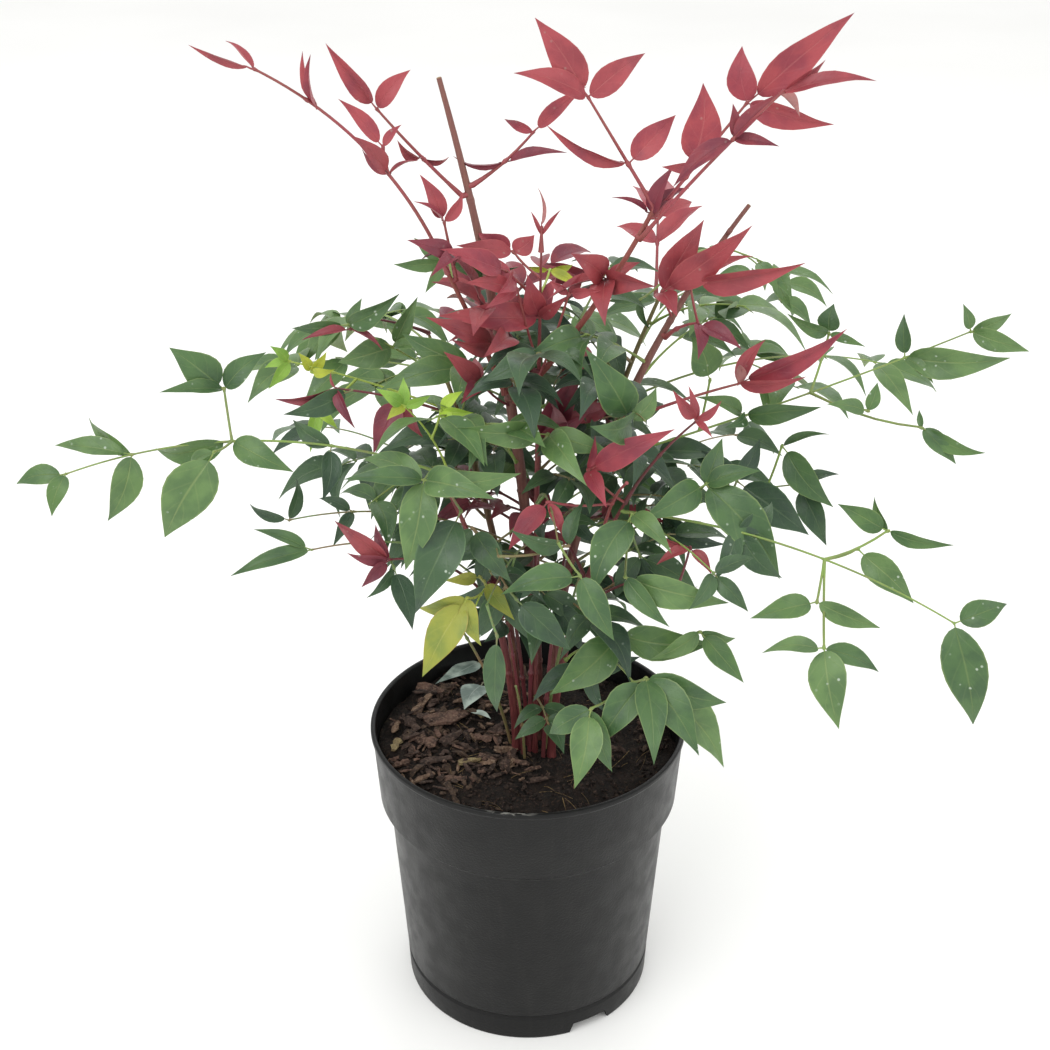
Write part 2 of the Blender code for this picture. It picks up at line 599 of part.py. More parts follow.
def make_limbs():
    """Canes cut flat at the compost, and boughs that leave a cane."""
    limbs = {}
    for name, x, y, heading, climb, lean, length, foot_radius, tip_radius in CANES:
        joints = [JOINT_SPACING * i / length for i in range(1, int(length / JOINT_SPACING) + 1)]
        joints = [share for share in joints if share < 1 - 2 * JOINT_REACH / length]
        limbs[name] = Stem((x, y, COMPOST_LEVEL), heading, climb, lean, length,
                           (foot_radius, tip_radius), joints=joints, reach=JOINT_REACH,
                           flare=ROOT_FLARE)
    for name, cane, share, heading, climb, lean, length, foot_radius, tip_radius in BOUGHS:
        foot = limbs[cane].socket(share, heading, climb, foot_radius)
        limbs[name] = Stem(foot, heading, climb, lean, length, (foot_radius, tip_radius),
                           joints=(0.5,), reach=JOINT_REACH)
    return limbs


def build_limb(name, limb, material):
    smooth(mesh_object(name, *limb.shape(CANE_SIDES), material))


def pot_shape():
    """The pot and compost as one coarse solid, to keep foliage out of them."""
    rim = POT_RIM_RADIUS + ROOM
    points = []
    for z in (0.0, POT_HEIGHT + ROOM):
        for k in range(POT_SIDES):
            turn = 2 * math.pi * k / POT_SIDES
            points.append(Vector((rim * math.cos(turn), rim * math.sin(turn), z)))
    faces = []
    for k in range(POT_SIDES):
        faces.append((k, (k + 1) % POT_SIDES, POT_SIDES + (k + 1) % POT_SIDES, POT_SIDES + k))
    return points, faces


def main():
    for thing in list(bpy.data.objects):
        bpy.data.objects.remove(thing)
    make_pot()
    make_compost()
    limbs = make_limbs()
    bark = make_material("cane", "#7A4A3A", 0.6)
    room = Room()
    for name, limb in limbs.items():
        build_limb(name, limb, bark)
        room.add(*limb.shape(CANE_SIDES))
    leaf_materials = {name: make_material(f"leaf_{name}", style["colour"], 0.45)
                      for name, style in STYLES.items()}
    room.add(*pot_shape())
    count = 0
    for row in FRONDS:
        frond = Frond(row, limbs, room)
        frond.build(leaf_materials[row[-1]])
        count += len(frond.leaves)
    print(f"{len(FRONDS)} compound leaves with {count} leaflets")


main()
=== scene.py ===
import json
import math
import random

import bmesh
import bpy
from mathutils import Matrix, Vector, noise
from mathutils.bvhtree import BVHTree

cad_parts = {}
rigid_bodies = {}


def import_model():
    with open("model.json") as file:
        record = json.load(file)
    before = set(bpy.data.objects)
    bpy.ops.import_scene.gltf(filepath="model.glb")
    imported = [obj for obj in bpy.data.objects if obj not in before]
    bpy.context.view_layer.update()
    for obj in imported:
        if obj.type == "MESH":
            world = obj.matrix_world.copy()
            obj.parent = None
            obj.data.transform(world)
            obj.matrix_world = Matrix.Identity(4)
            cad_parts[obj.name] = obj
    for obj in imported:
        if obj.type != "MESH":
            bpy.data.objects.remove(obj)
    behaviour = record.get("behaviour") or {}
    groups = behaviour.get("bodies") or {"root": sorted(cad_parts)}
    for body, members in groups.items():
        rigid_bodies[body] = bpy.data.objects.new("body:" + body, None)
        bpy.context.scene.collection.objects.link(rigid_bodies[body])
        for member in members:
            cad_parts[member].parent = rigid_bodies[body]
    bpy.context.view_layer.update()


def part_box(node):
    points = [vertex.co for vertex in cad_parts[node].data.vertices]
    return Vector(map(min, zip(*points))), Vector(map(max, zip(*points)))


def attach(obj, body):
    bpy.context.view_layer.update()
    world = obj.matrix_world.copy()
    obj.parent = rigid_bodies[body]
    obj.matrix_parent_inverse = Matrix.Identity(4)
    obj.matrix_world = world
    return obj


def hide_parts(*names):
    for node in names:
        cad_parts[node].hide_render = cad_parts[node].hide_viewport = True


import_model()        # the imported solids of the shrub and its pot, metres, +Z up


def linear(code):
    # sRGB hex to the linear colour that shaders want
    parts = [int(code[i:i + 2], 16) / 255 for i in (1, 3, 5)]
    return (*[p / 12.92 if p <= 0.04045 else ((p + 0.055) / 1.055) ** 2.4 for p in parts], 1.0)


def addNode(tree, kind, inputs=None, out=0, **settings):
    # one node with its settings; an input is a value or a socket to link from, and a text is a colour
    node = tree.nodes.new(kind)
    for key, value in settings.items():
        setattr(node, key, value)
    for key, value in (inputs or {}).items():
        if isinstance(value, bpy.types.NodeSocket):
            tree.links.new(value, node.inputs[key])
        elif isinstance(value, str) and value.startswith("#"):
            node.inputs[key].default_value = linear(value)
        else:
            node.inputs[key].default_value = value
    return node.outputs[out] if len(node.outputs) else node


def newFinish(name, roughness, specular):
    # an empty material: its tree, its one shader and the place on the object that patterns follow
    material = bpy.data.materials.new(name)
    material.use_nodes = True
    tree = material.node_tree
    tree.nodes.clear()
    surface = addNode(tree, "ShaderNodeBsdfPrincipled",
                      {"Roughness": roughness, "Specular IOR Level": specular})
    addNode(tree, "ShaderNodeOutputMaterial", {"Surface": surface})
    return material, tree, surface.node, addNode(tree, "ShaderNodeTexCoord", out=3)


def mottle(tree, at, size, low, high, most=1.0, detail=3.0):
    # soft patches about that many metres across: 0 where the noise is low, most where it is high
    cloud = addNode(tree, "ShaderNodeTexNoise", {"Vector": at, "Scale": 1 / size, "Detail": detail})
    return addNode(tree, "ShaderNodeMapRange", {0: cloud, 1: low, 2: high, 4: most},
                   interpolation_type="SMOOTHSTEP")


def dress(tree, surface, ground, layers, grain=None, depth=0.0, strength=1.0, gloss=None):
    # lays colours over the ground, each by the share of it that shows, and raises the grain
    for share, over in layers:
        ground = addNode(tree, "ShaderNodeMix", {0: share, 6: ground, 7: over}, out=2, data_type="RGBA")
    tree.links.new(ground, surface.inputs["Base Color"])
    if grain:
        raised = addNode(tree, "ShaderNodeBump", {"Height": grain, "Distance": depth, "Strength": strength})
        tree.links.new(raised, surface.inputs["Normal"])
    if gloss:
        tree.links.new(gloss, surface.inputs["Roughness"])


def patchyFinish(name, roughness, specular, ground, patches, grain, depth, strength):
    # soft patches over a ground colour, and a grain so many metres deep
    material, tree, surface, at = newFinish(name, roughness, specular)
    layers = [(mottle(tree, at, **patch), colour) for colour, patch in patches]
    dress(tree, surface, ground, layers, mottle(tree, at, **grain), depth, strength)
    return material


def addPiece(name, shape, slot, *nodes):
    # a finished piece rides on the one body and stands for the solids that it names
    thing = shape if isinstance(shape, bpy.types.Object) else bpy.data.objects.new(name, shape)
    if not thing.users_collection:
        bpy.context.scene.collection.objects.link(thing)
    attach(thing, "root")
    if nodes:
        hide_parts(*nodes)
    return thing


def meshOf(name, points, faces, materials=(), edges=()):
    mesh = bpy.data.meshes.new(name)
    mesh.from_pydata([tuple(p) for p in points], edges, faces)
    for material in materials:
        mesh.materials.append(material)
    return mesh


def objectOf(name, mesh):
    thing = bpy.data.objects.new(name, mesh)
    bpy.context.scene.collection.objects.link(thing)
    return thing


def smoothShade(mesh, degrees):
    mesh.shade_smooth()
    mesh.set_sharp_from_angle(angle=math.radians(degrees))


def spokes(sides, offset=0.0):
    # cosine and sine of the corners of a ring
    turns = [2 * math.pi * (k + offset) / sides for k in range(sides)]
    return [(math.cos(turn), math.sin(turn)) for turn in turns]


def giveValues(mesh, label, kind, values, domain="POINT"):
    # values that a tree reads by name, one for each point or face
    part = "vector" if kind == "FLOAT_VECTOR" else "value"
    mesh.attributes.new(label, kind, domain).data.foreach_set(part, values)


def ringFaces(rings, sides, start=0):
    # the quads between every ring of points and the next
    faces = []
    for low in range(start, start + (rings - 1) * sides, sides):
        for k in range(sides):
            beside = (k + 1) % sides
            faces.append((low + k, low + beside, low + sides + beside, low + sides + k))
    return faces


def newTree(name, **sockets):
    # a Geometry Nodes tree with named inputs, and the sockets that those give
    tree = bpy.data.node_groups.new(name, "GeometryNodeTree")
    tree.interface.new_socket("Geometry", in_out="INPUT", socket_type="NodeSocketGeometry")
    tree.interface.new_socket("Geometry", in_out="OUTPUT", socket_type="NodeSocketGeometry")
    for label, kind in sockets.items():
        tree.interface.new_socket(label, in_out="INPUT", socket_type="NodeSocket" + kind)
    return tree, addNode(tree, "NodeGroupInput").node.outputs


def closeTree(tree, shape, material):
    # the end of a tree: made real, given its material, and out
    real = addNode(tree, "GeometryNodeRealizeInstances", {"Geometry": shape})
    dressed = addNode(tree, "GeometryNodeSetMaterial", {"Geometry": real, "Material": material})
    addNode(tree, "NodeGroupOutput", {"Geometry": dressed})
    return tree


def growByNodes(thing, tree, **values):
    # puts the tree on the object, sets its inputs by identifier, and keeps the result as a plain mesh
    ids = {item.name: item.identifier for item in tree.interface.items_tree if item.in_out == "INPUT"}
    modifier = thing.modifiers.new(tree.name, "NODES")
    modifier.node_group = tree
    for label, value in values.items():
        modifier[ids[label]] = value
    evaluated = thing.evaluated_get(bpy.context.evaluated_depsgraph_get())
    grown = bpy.data.meshes.new_from_object(evaluated)
    thing.modifiers.clear()
    thing.data = grown
    grown.name = thing.name
    for k in reversed(range(len(grown.materials))):      # the empty slot that instances bring along
        if grown.materials[k] is None:
            grown.materials.pop(index=k)
    for label in ("girth", "kind", "turn", "size", "tint", "along", "under", "amount"):
        if label in grown.attributes:
            grown.attributes.remove(grown.attributes[label])
    return thing


def growFromShapes(thing, tree, label, shapes, **values):
    # the tree copies the shapes from a collection that is there only while it works
    group = bpy.data.collections.new(thing.name)
    for shape in shapes:
        group.objects.link(bpy.data.objects.new(shape.name, shape))
    growByNodes(thing, tree, **{label: group}, **values)
    for shape in list(group.objects):
        bpy.data.objects.remove(shape)
    bpy.data.collections.remove(group)
    return thing


# how the shrub grows: limbs, compound leaves, and the rule that both follow

compostTop = 0.168       # level of the compost where the canes stand
gap = 0.0003

potSizes = {
    "height": 0.185, "rimRadius": 0.095, "rimDepth": 0.004,
    "collarTop": 0.0938, "collarLow": 0.0908, "collarLowZ": 0.137,
    "wallTop": 0.0850, "wallTopZ": 0.131, "wallLow": 0.0772, "stepZ": 0.0150,
    "footRadius": 0.0768, "wall": 0.0018, "floor": 0.0024, "middle": 0.050,
    "channel": 0.0075, "channelSlope": 0.002, "footRing": 0.0026,
    "drainHoles": 6, "drainRadius": 0.0042,
    "notches": 3, "notchWidth": 0.028, "notchHeading": -60.0, "notchSlope": 0.005,
    "keepOutSides": 32,
}

# name, foot x and y, heading, climb at the foot, lean gained, length, radii at foot and tip
canes = [
    ("cane_tall", 0.006, 0.003, 180, 90, 14.5, 0.402, 0.0035, 0.0024),
    ("cane_right", 0.014, -0.002, 0, 92, 37, 0.355, 0.0029, 0.0020),
    ("cane_centre", 0.004, -0.010, 20, 90, 1, 0.312, 0.0019, 0.0011),
    ("cane_back_right", 0.013, 0.011, 32, 89, 30, 0.300, 0.0027, 0.0015),
    ("cane_back_left", -0.006, 0.012, 145, 89, 26, 0.255, 0.0027, 0.0015),
    ("cane_front_left", -0.007, -0.007, 214, 88, 24, 0.205, 0.0025, 0.0014),
    ("cane_front_right", 0.014, -0.014, 318, 88, 26, 0.195, 0.0025, 0.0014),
    ("cane_back", 0.004, 0.020, 85, 89, 20, 0.235, 0.0026, 0.0014),
]

# name, the cane and the share of it where they leave, heading, climb, lean gained, length, radii
boughs = [
    ("bough_right", "cane_tall", 0.562, 335, 50, -14, 0.137, 0.0019, 0.0012),
    ("bough_left", "cane_tall", 0.580, 220, 66, 4, 0.082, 0.0016, 0.0011),
]

limbRule = {
    "sides": 6, "flatSided": 0.95, "jointSpacing": 0.0565, "jointSwell": 1.16, "jointReach": 0.004,
    "rootFlare": 1.3, "flareHeight": 0.009,
}

# width, rise of the edges and bulge for a leaflet's length; spread and hang of the pairs; how far
# blades turn to the front and how loosely, in degrees
leafStyles = {
    "green": dict(width=0.52, fold=0.035, bulge=0.075, spread=60, hang=32, facing=14, loose=16),
    "deep": dict(width=0.50, fold=0.040, bulge=0.080, spread=62, hang=34, facing=14, loose=18),
    "lime": dict(width=0.48, fold=0.040, bulge=0.060, spread=54, hang=24, facing=14, loose=16),
    "red": dict(width=0.44, fold=0.055, bulge=0.045, spread=44, hang=2, facing=42, loose=24),
    "wine": dict(width=0.44, fold=0.055, bulge=0.060, spread=52, hang=14, facing=30, loose=24),
}

# name, limb and the share of it where they leave, heading, climb, lean gained, length, joints as
# (share of the stem, length of its two arms), leaflet length, style; these lengths in millimetres
fronds = [
    ("red_shoot_left", "bough_left", 1.0, 200, 70, 40, 144, ((0.46, 12), (0.8, 0)), 36, "red"),
    ("red_sprig_left", "bough_left", 0.93, 234, 75, 0, 33, (), 27, "red"),
    ("red_top_left", "cane_tall", 0.85, 198, 45, -6, 64, ((0.45, 0),), 40, "red"),
    ("red_top_mid", "cane_tall", 0.86, 355, 33, -18, 42, ((0.5, 0),), 32, "red"),
    ("red_crown_left", "bough_right", 1.0, 179, 58, 0, 64, ((0.4, 0),), 44, "red"),
    ("red_crown_mid", "bough_right", 0.97, 357, 53, 0, 71, ((0.36, 0),), 52, "red"),
    ("red_crown_right", "bough_right", 0.88, 332, 48, 6, 110, ((0.68, 0),), 38, "red"),
    ("red_bud", "cane_centre", 1.0, 80, 86, 0, 13, (), 18, "red"),
    ("red_centre_left", "cane_centre", 0.92, 211, 45, 0, 26, (), 34, "red"),
    ("red_centre_low", "cane_centre", 0.79, 199, 60, 10, 51, ((0.5, 0),), 40, "wine"),
    ("red_centre_right", "cane_centre", 0.9, 342, 34, 6, 38, ((0.45, 0),), 38, "wine"),
    ("red_mid_right", "cane_right", 0.77, 330, 52, 40, 22, ((0.4, 0),), 62, "red"),
    ("red_side_right", "cane_right", 0.62, 345, 29, 8, 69, (), 50, "red"),
    ("red_young_front", "cane_front_right", 1.0, 346, 65, 20, 62, ((0.55, 0),), 30, "wine"),
    ("red_inner_front", "cane_front_right", 0.86, 283, 66, 30, 69, ((0.5, 0),), 40, "red"),
    ("red_low_front", "cane_front_right", 0.55, 320, 60, 50, 83, ((0.65, 0),), 32, "wine"),
    ("red_low_left", "cane_front_left", 0.56, 214, 60, 50, 77, ((0.62, 0),), 36, "wine"),
    ("red_side_left", "cane_tall", 0.5, 199, 37, 24, 106, ((0.66, 0),), 36, "wine"),
    ("red_high_left", "cane_back_left", 1.0, 224, 30, 10, 44, ((0.45, 0),), 34, "wine"),
    ("green_long_left", "cane_front_left", 1.0, 189, 26, 44, 197, ((0.3, 0), (0.56, 22), (0.82, 0)), 44,
     "green"),
    ("green_high_right", "cane_right", 0.55, 1, 18, -6, 205, ((0.56, 46), (0.82, 12)), 35, "green"),
    ("green_low_right", "cane_front_right", 0.97, 339, 5, 30, 181, ((0.34, 30), (0.6, 44)), 42, "green"),
    ("green_trio_left", "cane_back_left", 0.9, 210, 42, 10, 71, ((0.55, 0),), 34, "green"),
    ("lime_left", "cane_back_left", 0.82, 183, 25, 10, 96, ((0.74, 12),), 24, "lime"),
    ("lime_front", "cane_front_left", 0.92, 221, 73, 30, 70, ((0.58, 12),), 27, "lime"),
    ("green_low_left", "cane_front_left", 0.7, 205, 33, 34, 97, ((0.58, 20),), 44, "deep"),
    ("green_front_left", "cane_front_left", 0.95, 260, 60, 60, 66, ((0.5, 20),), 48, "green"),
    ("green_front_mid", "cane_front_left", 0.62, 275, 66, 60, 105, ((0.45, 24), (0.72, 0)), 44, "deep"),
    ("lime_front_low", "cane_front_left", 0.45, 262, 70, 70, 116, ((0.7, 0),), 44, "lime"),
    ("deep_right", "cane_right", 0.36, 5, 36, 34, 135, ((0.4, 34), (0.7, 22)), 44, "deep"),
    ("green_over_pot", "cane_front_right", 0.38, 293, 52, 76, 126, ((0.46, 30), (0.76, 20)), 42, "green"),
    ("deep_front_high", "cane_centre", 0.54, 276, 46, 62, 100, ((0.42, 32), (0.74, 16)), 44, "deep"),
    ("green_front_right", "cane_right", 0.42, 305, 42, 60, 118, ((0.4, 34), (0.72, 20)), 44, "green"),
    ("deep_front_left", "cane_centre", 0.46, 238, 37, 40, 98, ((0.44, 32), (0.74, 18)), 42, "deep"),
    ("deep_left", "cane_tall", 0.33, 190, 35, 44, 137, ((0.44, 32), (0.74, 18)), 42, "deep"),
    ("green_long_back", "cane_back", 1.0, 85, 12, 60, 161, ((0.4, 34), (0.72, 18)), 43, "green"),
    ("green_back_left", "cane_back_left", 0.97, 121, 10, 50, 157, ((0.4, 32), (0.72, 16)), 42, "green"),
    ("green_back_right", "cane_back_right", 1.0, 57, 0, 50, 170, ((0.4, 34), (0.72, 16)), 43, "green"),
    ("deep_back_left", "cane_back_left", 0.56, 134, 22, 40, 165, ((0.46, 34),), 43, "deep"),
    ("deep_back_right", "cane_back_right", 0.46, 48, 22, 40, 161, ((0.46, 34),), 43, "deep"),
    ("deep_back", "cane_back", 0.62, 104, 20, 46, 158, ((0.46, 32),), 43, "deep"),
    ("green_side_right", "cane_back_right", 0.72, 16, 22, 40, 166, ((0.46, 34), (0.76, 0)), 42, "green"),
    ("green_side_left", "cane_back", 0.84, 162, 26, 44, 160, ((0.46, 32), (0.76, 0)), 42, "green"),
    ("red_back_right", "cane_back_right", 0.93, 86, 52, 30, 60, ((0.55, 0),), 40, "red"),
    ("red_back_top", "cane_back", 0.92, 150, 60, 20, 62, ((0.55, 0),), 38, "wine"),
    ("green_mid_left", "cane_tall", 0.47, 236, 62, 50, 92, ((0.48, 30), (0.76, 0)), 42, "green"),
    ("green_mid_right", "cane_right", 0.58, 282, 60, 56, 82, ((0.46, 28), (0.76, 0)), 42, "deep"),
    ("deep_pot_front", "cane_centre", 0.13, 280, 26, 30, 40, ((0.55, 0),), 24, "deep"),
]

twigRule = {
    "stemRadius": 0.0012, "stemTip": 0.0007, "armRadius": 0.0008, "armTip": 0.0006,
    "sides": 3, "step": 0.045, "knotSwell": 1.8, "knotDepth": 0.0012, "pairBelowEnd": 0.005,
    "armClimb": 0.60, "armDroop": 14.0, "armShrink": 0.92, "shortestArm": 0.008,
    "midwayArm": 0.030, "midwayShare": 0.55, "endLeaf": 1.12, "sideLeaf": 0.92,
    "leafWidest": 0.38, "leafThickness": 0.0009, "leafSink": 0.0006,
    "stemFree": 0.004, "armFree": 0.2, "leafFree": 0.26, "hangAtEnd": 0.55, "sideClimb": 0.65,
    "room": 0.0006, "stemTries": 14, "armTries": 8, "leafTries": 8,
}
leafFaces = [(0, 3, 4), (3, 1, 4), (1, 2, 4), (2, 0, 4), (3, 0, 5), (1, 3, 5), (2, 1, 5), (0, 2, 5)]


def direction(heading, climb):
    # unit vector: heading 0 is +X and 90 is +Y, climb is up from level, both in degrees
    turn, rise = math.radians(heading), math.radians(climb)
    return Vector((math.cos(turn) * math.cos(rise), math.sin(turn) * math.cos(rise), math.sin(rise)))


class Stem:
    # a tapering limb on an arc, whose climb falls evenly by lean degrees from foot to tip

    def __init__(self, foot, heading, climb, lean, length, radii, joints=(), swell=1.0, reach=0.0,
                 step=0.0, flare=1.0, tipSwell=1.0):
        self.foot, self.heading, self.climb = Vector(foot), heading, climb
        self.lean, self.length, self.stands = lean, length, flare > 1.0
        self.joints, self.radii = list(joints), radii
        rings = {}
        for share in joints:
            if reach:
                rings[share - reach / length] = 1.0
                rings[share + reach / length] = 1.0
            rings[share] = swell
        stops = [0.0, *joints, 1.0]
        for low, high in zip(stops, stops[1:]):
            count = max(1, round((high - low) * length / step)) if step else 1
            for i in range(1, count):
                rings[low + (high - low) * i / count] = 1.0
        if flare > 1.0:
            rings[limbRule["flareHeight"] / length] = 1.0
        rings[0.0] = flare
        rings[1.0] = tipSwell
        wide, narrow = radii
        self.rings = [(share, (wide + (narrow - wide) * share) * rings[share]) for share in sorted(rings)]

    def climbAt(self, share):
        return self.climb - self.lean * share

    def axis(self, share):
        return direction(self.heading, self.climbAt(share))

    def point(self, share):
        if abs(self.lean) < 0.1:     # as good as straight
            return self.foot + self.axis(0.5) * (self.length * share)
        start, now = math.radians(self.climb), math.radians(self.climbAt(share))
        turn = math.radians(self.lean)
        out = (math.sin(start) - math.sin(now)) / turn * self.length
        rise = (math.cos(now) - math.cos(start)) / turn * self.length
        return self.foot + direction(self.heading, 0) * out + Vector((0, 0, rise))

    def betweenRings(self, share):
        for (low, lowRadius), (high, highRadius) in zip(self.rings, self.rings[1:]):
            if share <= high:
                blend = (share - low) / (high - low)
                middle = self.point(low).lerp(self.point(high), blend)
                return middle, lowRadius + (highRadius - lowRadius) * blend
        return self.point(1.0), self.rings[-1][1]

    def shape(self, sides, room=0.0, start=0.0):
        # the coarse closed tube that other shapes keep clear of
        shares = [start] + [share for share, _ in self.rings if share > start + 0.01]
        side = direction(self.heading + 90, 0)
        points = []
        for share in shares:
            middle, radius = self.betweenRings(share)
            lift = self.axis(share).cross(side)
            points += [middle + (side * c + lift * s) * (radius + room) for c, s in spokes(sides)]
        if self.stands:
            for point in points[:sides]:
                point.z = self.foot.z
        ends = tuple(reversed(range(sides))), tuple(range(len(points) - sides, len(points)))
        return points, [ends[0], *ringFaces(len(shares), sides), ends[1]]

    def socket(self, share, heading, climb, radius):
        # where a stem of this heading, climb and radius starts, a gap clear of this one
        centre, reach = self.betweenRings(share)
        along, aim = self.axis(share), direction(heading, climb)
        if share >= 1.0:
            away, reach = along, 0.0
        else:
            away = (aim - along * aim.dot(along)).normalized()
            reach *= limbRule["flatSided"]
        slant = math.sqrt(max(0.0, 1.0 - aim.dot(away) ** 2))
        return centre + away * (reach + gap + radius * slant)


class Room:
    # the shapes placed so far, and whether a new one keeps clear of them

    def __init__(self):
        self.shapes = []

    def box(self, points):
        return [(min(p[i] for p in points), max(p[i] for p in points)) for i in range(3)]

    def isClear(self, points, faces):
        box, tree = self.box(points), BVHTree.FromPolygons(points, faces)
        for otherBox, otherTree in self.shapes:
            if all(low <= other[1] and high >= other[0] for (low, high), other in zip(box, otherBox)):
                if tree.overlap(otherTree):
                    return False
        return True

    def add(self, points, faces):
        self.shapes.append((self.box(points), BVHTree.FromPolygons(points, faces)))


def coarseLeaf(root, heading, climb, roll, length, style, room=0.0, start=0.0):
    ahead = direction(heading, climb)
    turn = Matrix.Rotation(math.radians(roll), 3, ahead)
    side = turn @ direction(heading + 90, 0)
    lift = ahead.cross(side)
    middle = root + ahead * (twigRule["leafWidest"] * length) + lift * (style["bulge"] * length)
    edge = side * (style["width"] * length / 2 + room)
    rise = lift * (style["fold"] * length)
    thick = lift * (max(twigRule["leafThickness"], length / 60) / 2 + room)
    base = root + ahead * (start * length - twigRule["leafSink"])
    tip = root + ahead * (length + room)
    return [base, tip, middle + edge + rise, middle - edge + rise, middle + thick, middle - thick]


class Frond:
    # one compound leaf, grown so that it touches nothing already there

    def __init__(self, row, limbs, room):
        self.name, limb, self.share, heading, climb, lean, length, joints, leaf, self.styleName = row
        self.limb, self.style, self.leaf = limbs[limb], leafStyles[self.styleName], leaf / 1000
        self.room, self.rng = room, random.Random(self.name)
        self.twigs, self.leaves, self.poses = [], [], []
        joints = [(place, arm / 1000) for place, arm in joints]
        stem = self.clearStem(heading, climb, lean, length / 1000, joints)
        self.twigs.append(stem)
        for place, arm in joints:
            for side in (-1, 1):
                if arm < twigRule["shortestArm"]:
                    self.addLeaf(stem, place, side, twigRule["sideLeaf"])
                else:
                    self.addArm(stem, place, side, arm)
        self.addTrio(stem, 1.0)
        for twig in self.twigs:
            room.add(*twig.shape(twigRule["sides"]))
        for leaf in self.leaves:
            room.add(*leaf)

    def clearStem(self, heading, climb, lean, length, joints):
        rule = twigRule
        for attempt in range(rule["stemTries"]):
            turned = heading + self.rng.uniform(-1.6, 1.6) * attempt
            risen = climb + self.rng.uniform(-1.2, 1.2) * attempt
            foot = self.limb.socket(self.share, turned, risen, rule["stemRadius"])
            stem = Stem(foot, turned, risen, lean, length, (rule["stemRadius"], rule["stemTip"]),
                        joints=[place for place, _ in joints], swell=rule["knotSwell"],
                        step=rule["step"], tipSwell=rule["knotSwell"])
            if self.room.isClear(*stem.shape(rule["sides"], rule["room"], rule["stemFree"] / length)):
                return stem
        return stem

    def fits(self, whole, free, parent=None):
        # whole clear of other leaves and limbs, and its free end clear of this one's own parts
        if not self.room.isClear(*whole):
            return False
        own = Room()
        for twig in self.twigs:
            if twig is not parent:
                own.add(*twig.shape(twigRule["sides"]))
        for leaf in self.leaves:
            own.add(*leaf)
        return own.isClear(*free)

    def addArm(self, stem, place, side, arm):
        rule = twigRule
        for attempt in range(rule["armTries"]):
            heading = stem.heading + side * self.style["spread"] + self.rng.uniform(-4, 4) * attempt
            climb = stem.climbAt(place) * rule["armClimb"] + self.rng.uniform(-4, 4) * (attempt + 1)
            twig = Stem(stem.betweenRings(place)[0], heading, climb, rule["armDroop"], arm,
                        (rule["armRadius"], rule["armTip"]), step=rule["step"],
                        tipSwell=rule["knotSwell"])
            whole = twig.shape(rule["sides"], rule["room"])
            if self.fits(whole, twig.shape(rule["sides"], rule["room"], rule["armFree"]), parent=stem):
                self.twigs.append(twig)
                if arm > rule["midwayArm"]:
                    self.addLeaf(twig, rule["midwayShare"], -1, rule["armShrink"] * rule["sideLeaf"])
                    self.addLeaf(twig, rule["midwayShare"], 1, rule["armShrink"] * rule["sideLeaf"])
                self.addTrio(twig, rule["armShrink"])
                return

    def addTrio(self, twig, size):
        below = max(0.0, 1.0 - twigRule["pairBelowEnd"] / twig.length)
        self.addLeaf(twig, 1.0, 0, size * twigRule["endLeaf"])
        self.addLeaf(twig, below, -1, size * twigRule["sideLeaf"])
        self.addLeaf(twig, below, 1, size * twigRule["sideLeaf"])

    def addLeaf(self, twig, place, side, size):
        rule = twigRule
        tall = twig.climbAt(place)
        for attempt in range(rule["leafTries"]):
            loose = 1 + 0.5 * attempt
            heading = twig.heading + side * self.style["spread"] + self.rng.uniform(-7, 7) * loose
            if side:
                climb = tall * rule["sideClimb"] - self.style["hang"]
            else:
                climb = tall - self.style["hang"] * rule["hangAtEnd"]
            climb += self.rng.uniform(-8, 8) * loose
            facing = self.style["facing"] * math.cos(math.radians(heading))
            roll = facing + self.rng.uniform(-1, 1) * self.style["loose"] * loose
            length = self.leaf * size * self.rng.uniform(0.86, 1.10) * (1 - 0.03 * attempt)
            root, _ = twig.betweenRings(min(place, 1.0 - rule["knotDepth"] / twig.length))
            pose = (root, heading, climb, roll, length, self.style)
            whole = coarseLeaf(*pose, room=rule["room"]), leafFaces
            free = coarseLeaf(*pose, room=rule["room"], start=rule["leafFree"]), leafFaces
            if self.fits(whole, free):
                self.leaves.append((coarseLeaf(*pose), leafFaces))
                self.poses.append((side, *pose[:5]))
                return


def growLimbs():
    rule, limbs = limbRule, {}
    for name, x, y, heading, climb, lean, length, footRadius, tipRadius in canes:
        spacing = rule["jointSpacing"]
        joints = [spacing * i / length for i in range(1, int(length / spacing) + 1)]
        joints = [share for share in joints if share < 1 - 2 * rule["jointReach"] / length]
        limbs[name] = Stem((x, y, compostTop), heading, climb, lean, length, (footRadius, tipRadius),
                           joints=joints, swell=rule["jointSwell"], reach=rule["jointReach"],
                           flare=rule["rootFlare"])
    for name, cane, share, heading, climb, lean, length, footRadius, tipRadius in boughs:
        foot = limbs[cane].socket(share, heading, climb, footRadius)
        limbs[name] = Stem(foot, heading, climb, lean, length, (footRadius, tipRadius), joints=(0.5,),
                           swell=rule["jointSwell"], reach=rule["jointReach"])
    return limbs


def potKeepOut():
    rim, sides = potSizes["rimRadius"] + twigRule["room"], potSizes["keepOutSides"]
    levels = 0.0, potSizes["height"] + twigRule["room"]
    points = [Vector((rim * c, rim * s, z)) for z in levels for c, s in spokes(sides)]
    return points, ringFaces(len(levels), sides)


limbs = growLimbs()
taken = Room()
for limb in limbs.values():
    taken.add(*limb.shape(limbRule["sides"]))
taken.add(*potKeepOut())
plants = [Frond(row, limbs, taken) for row in fronds]

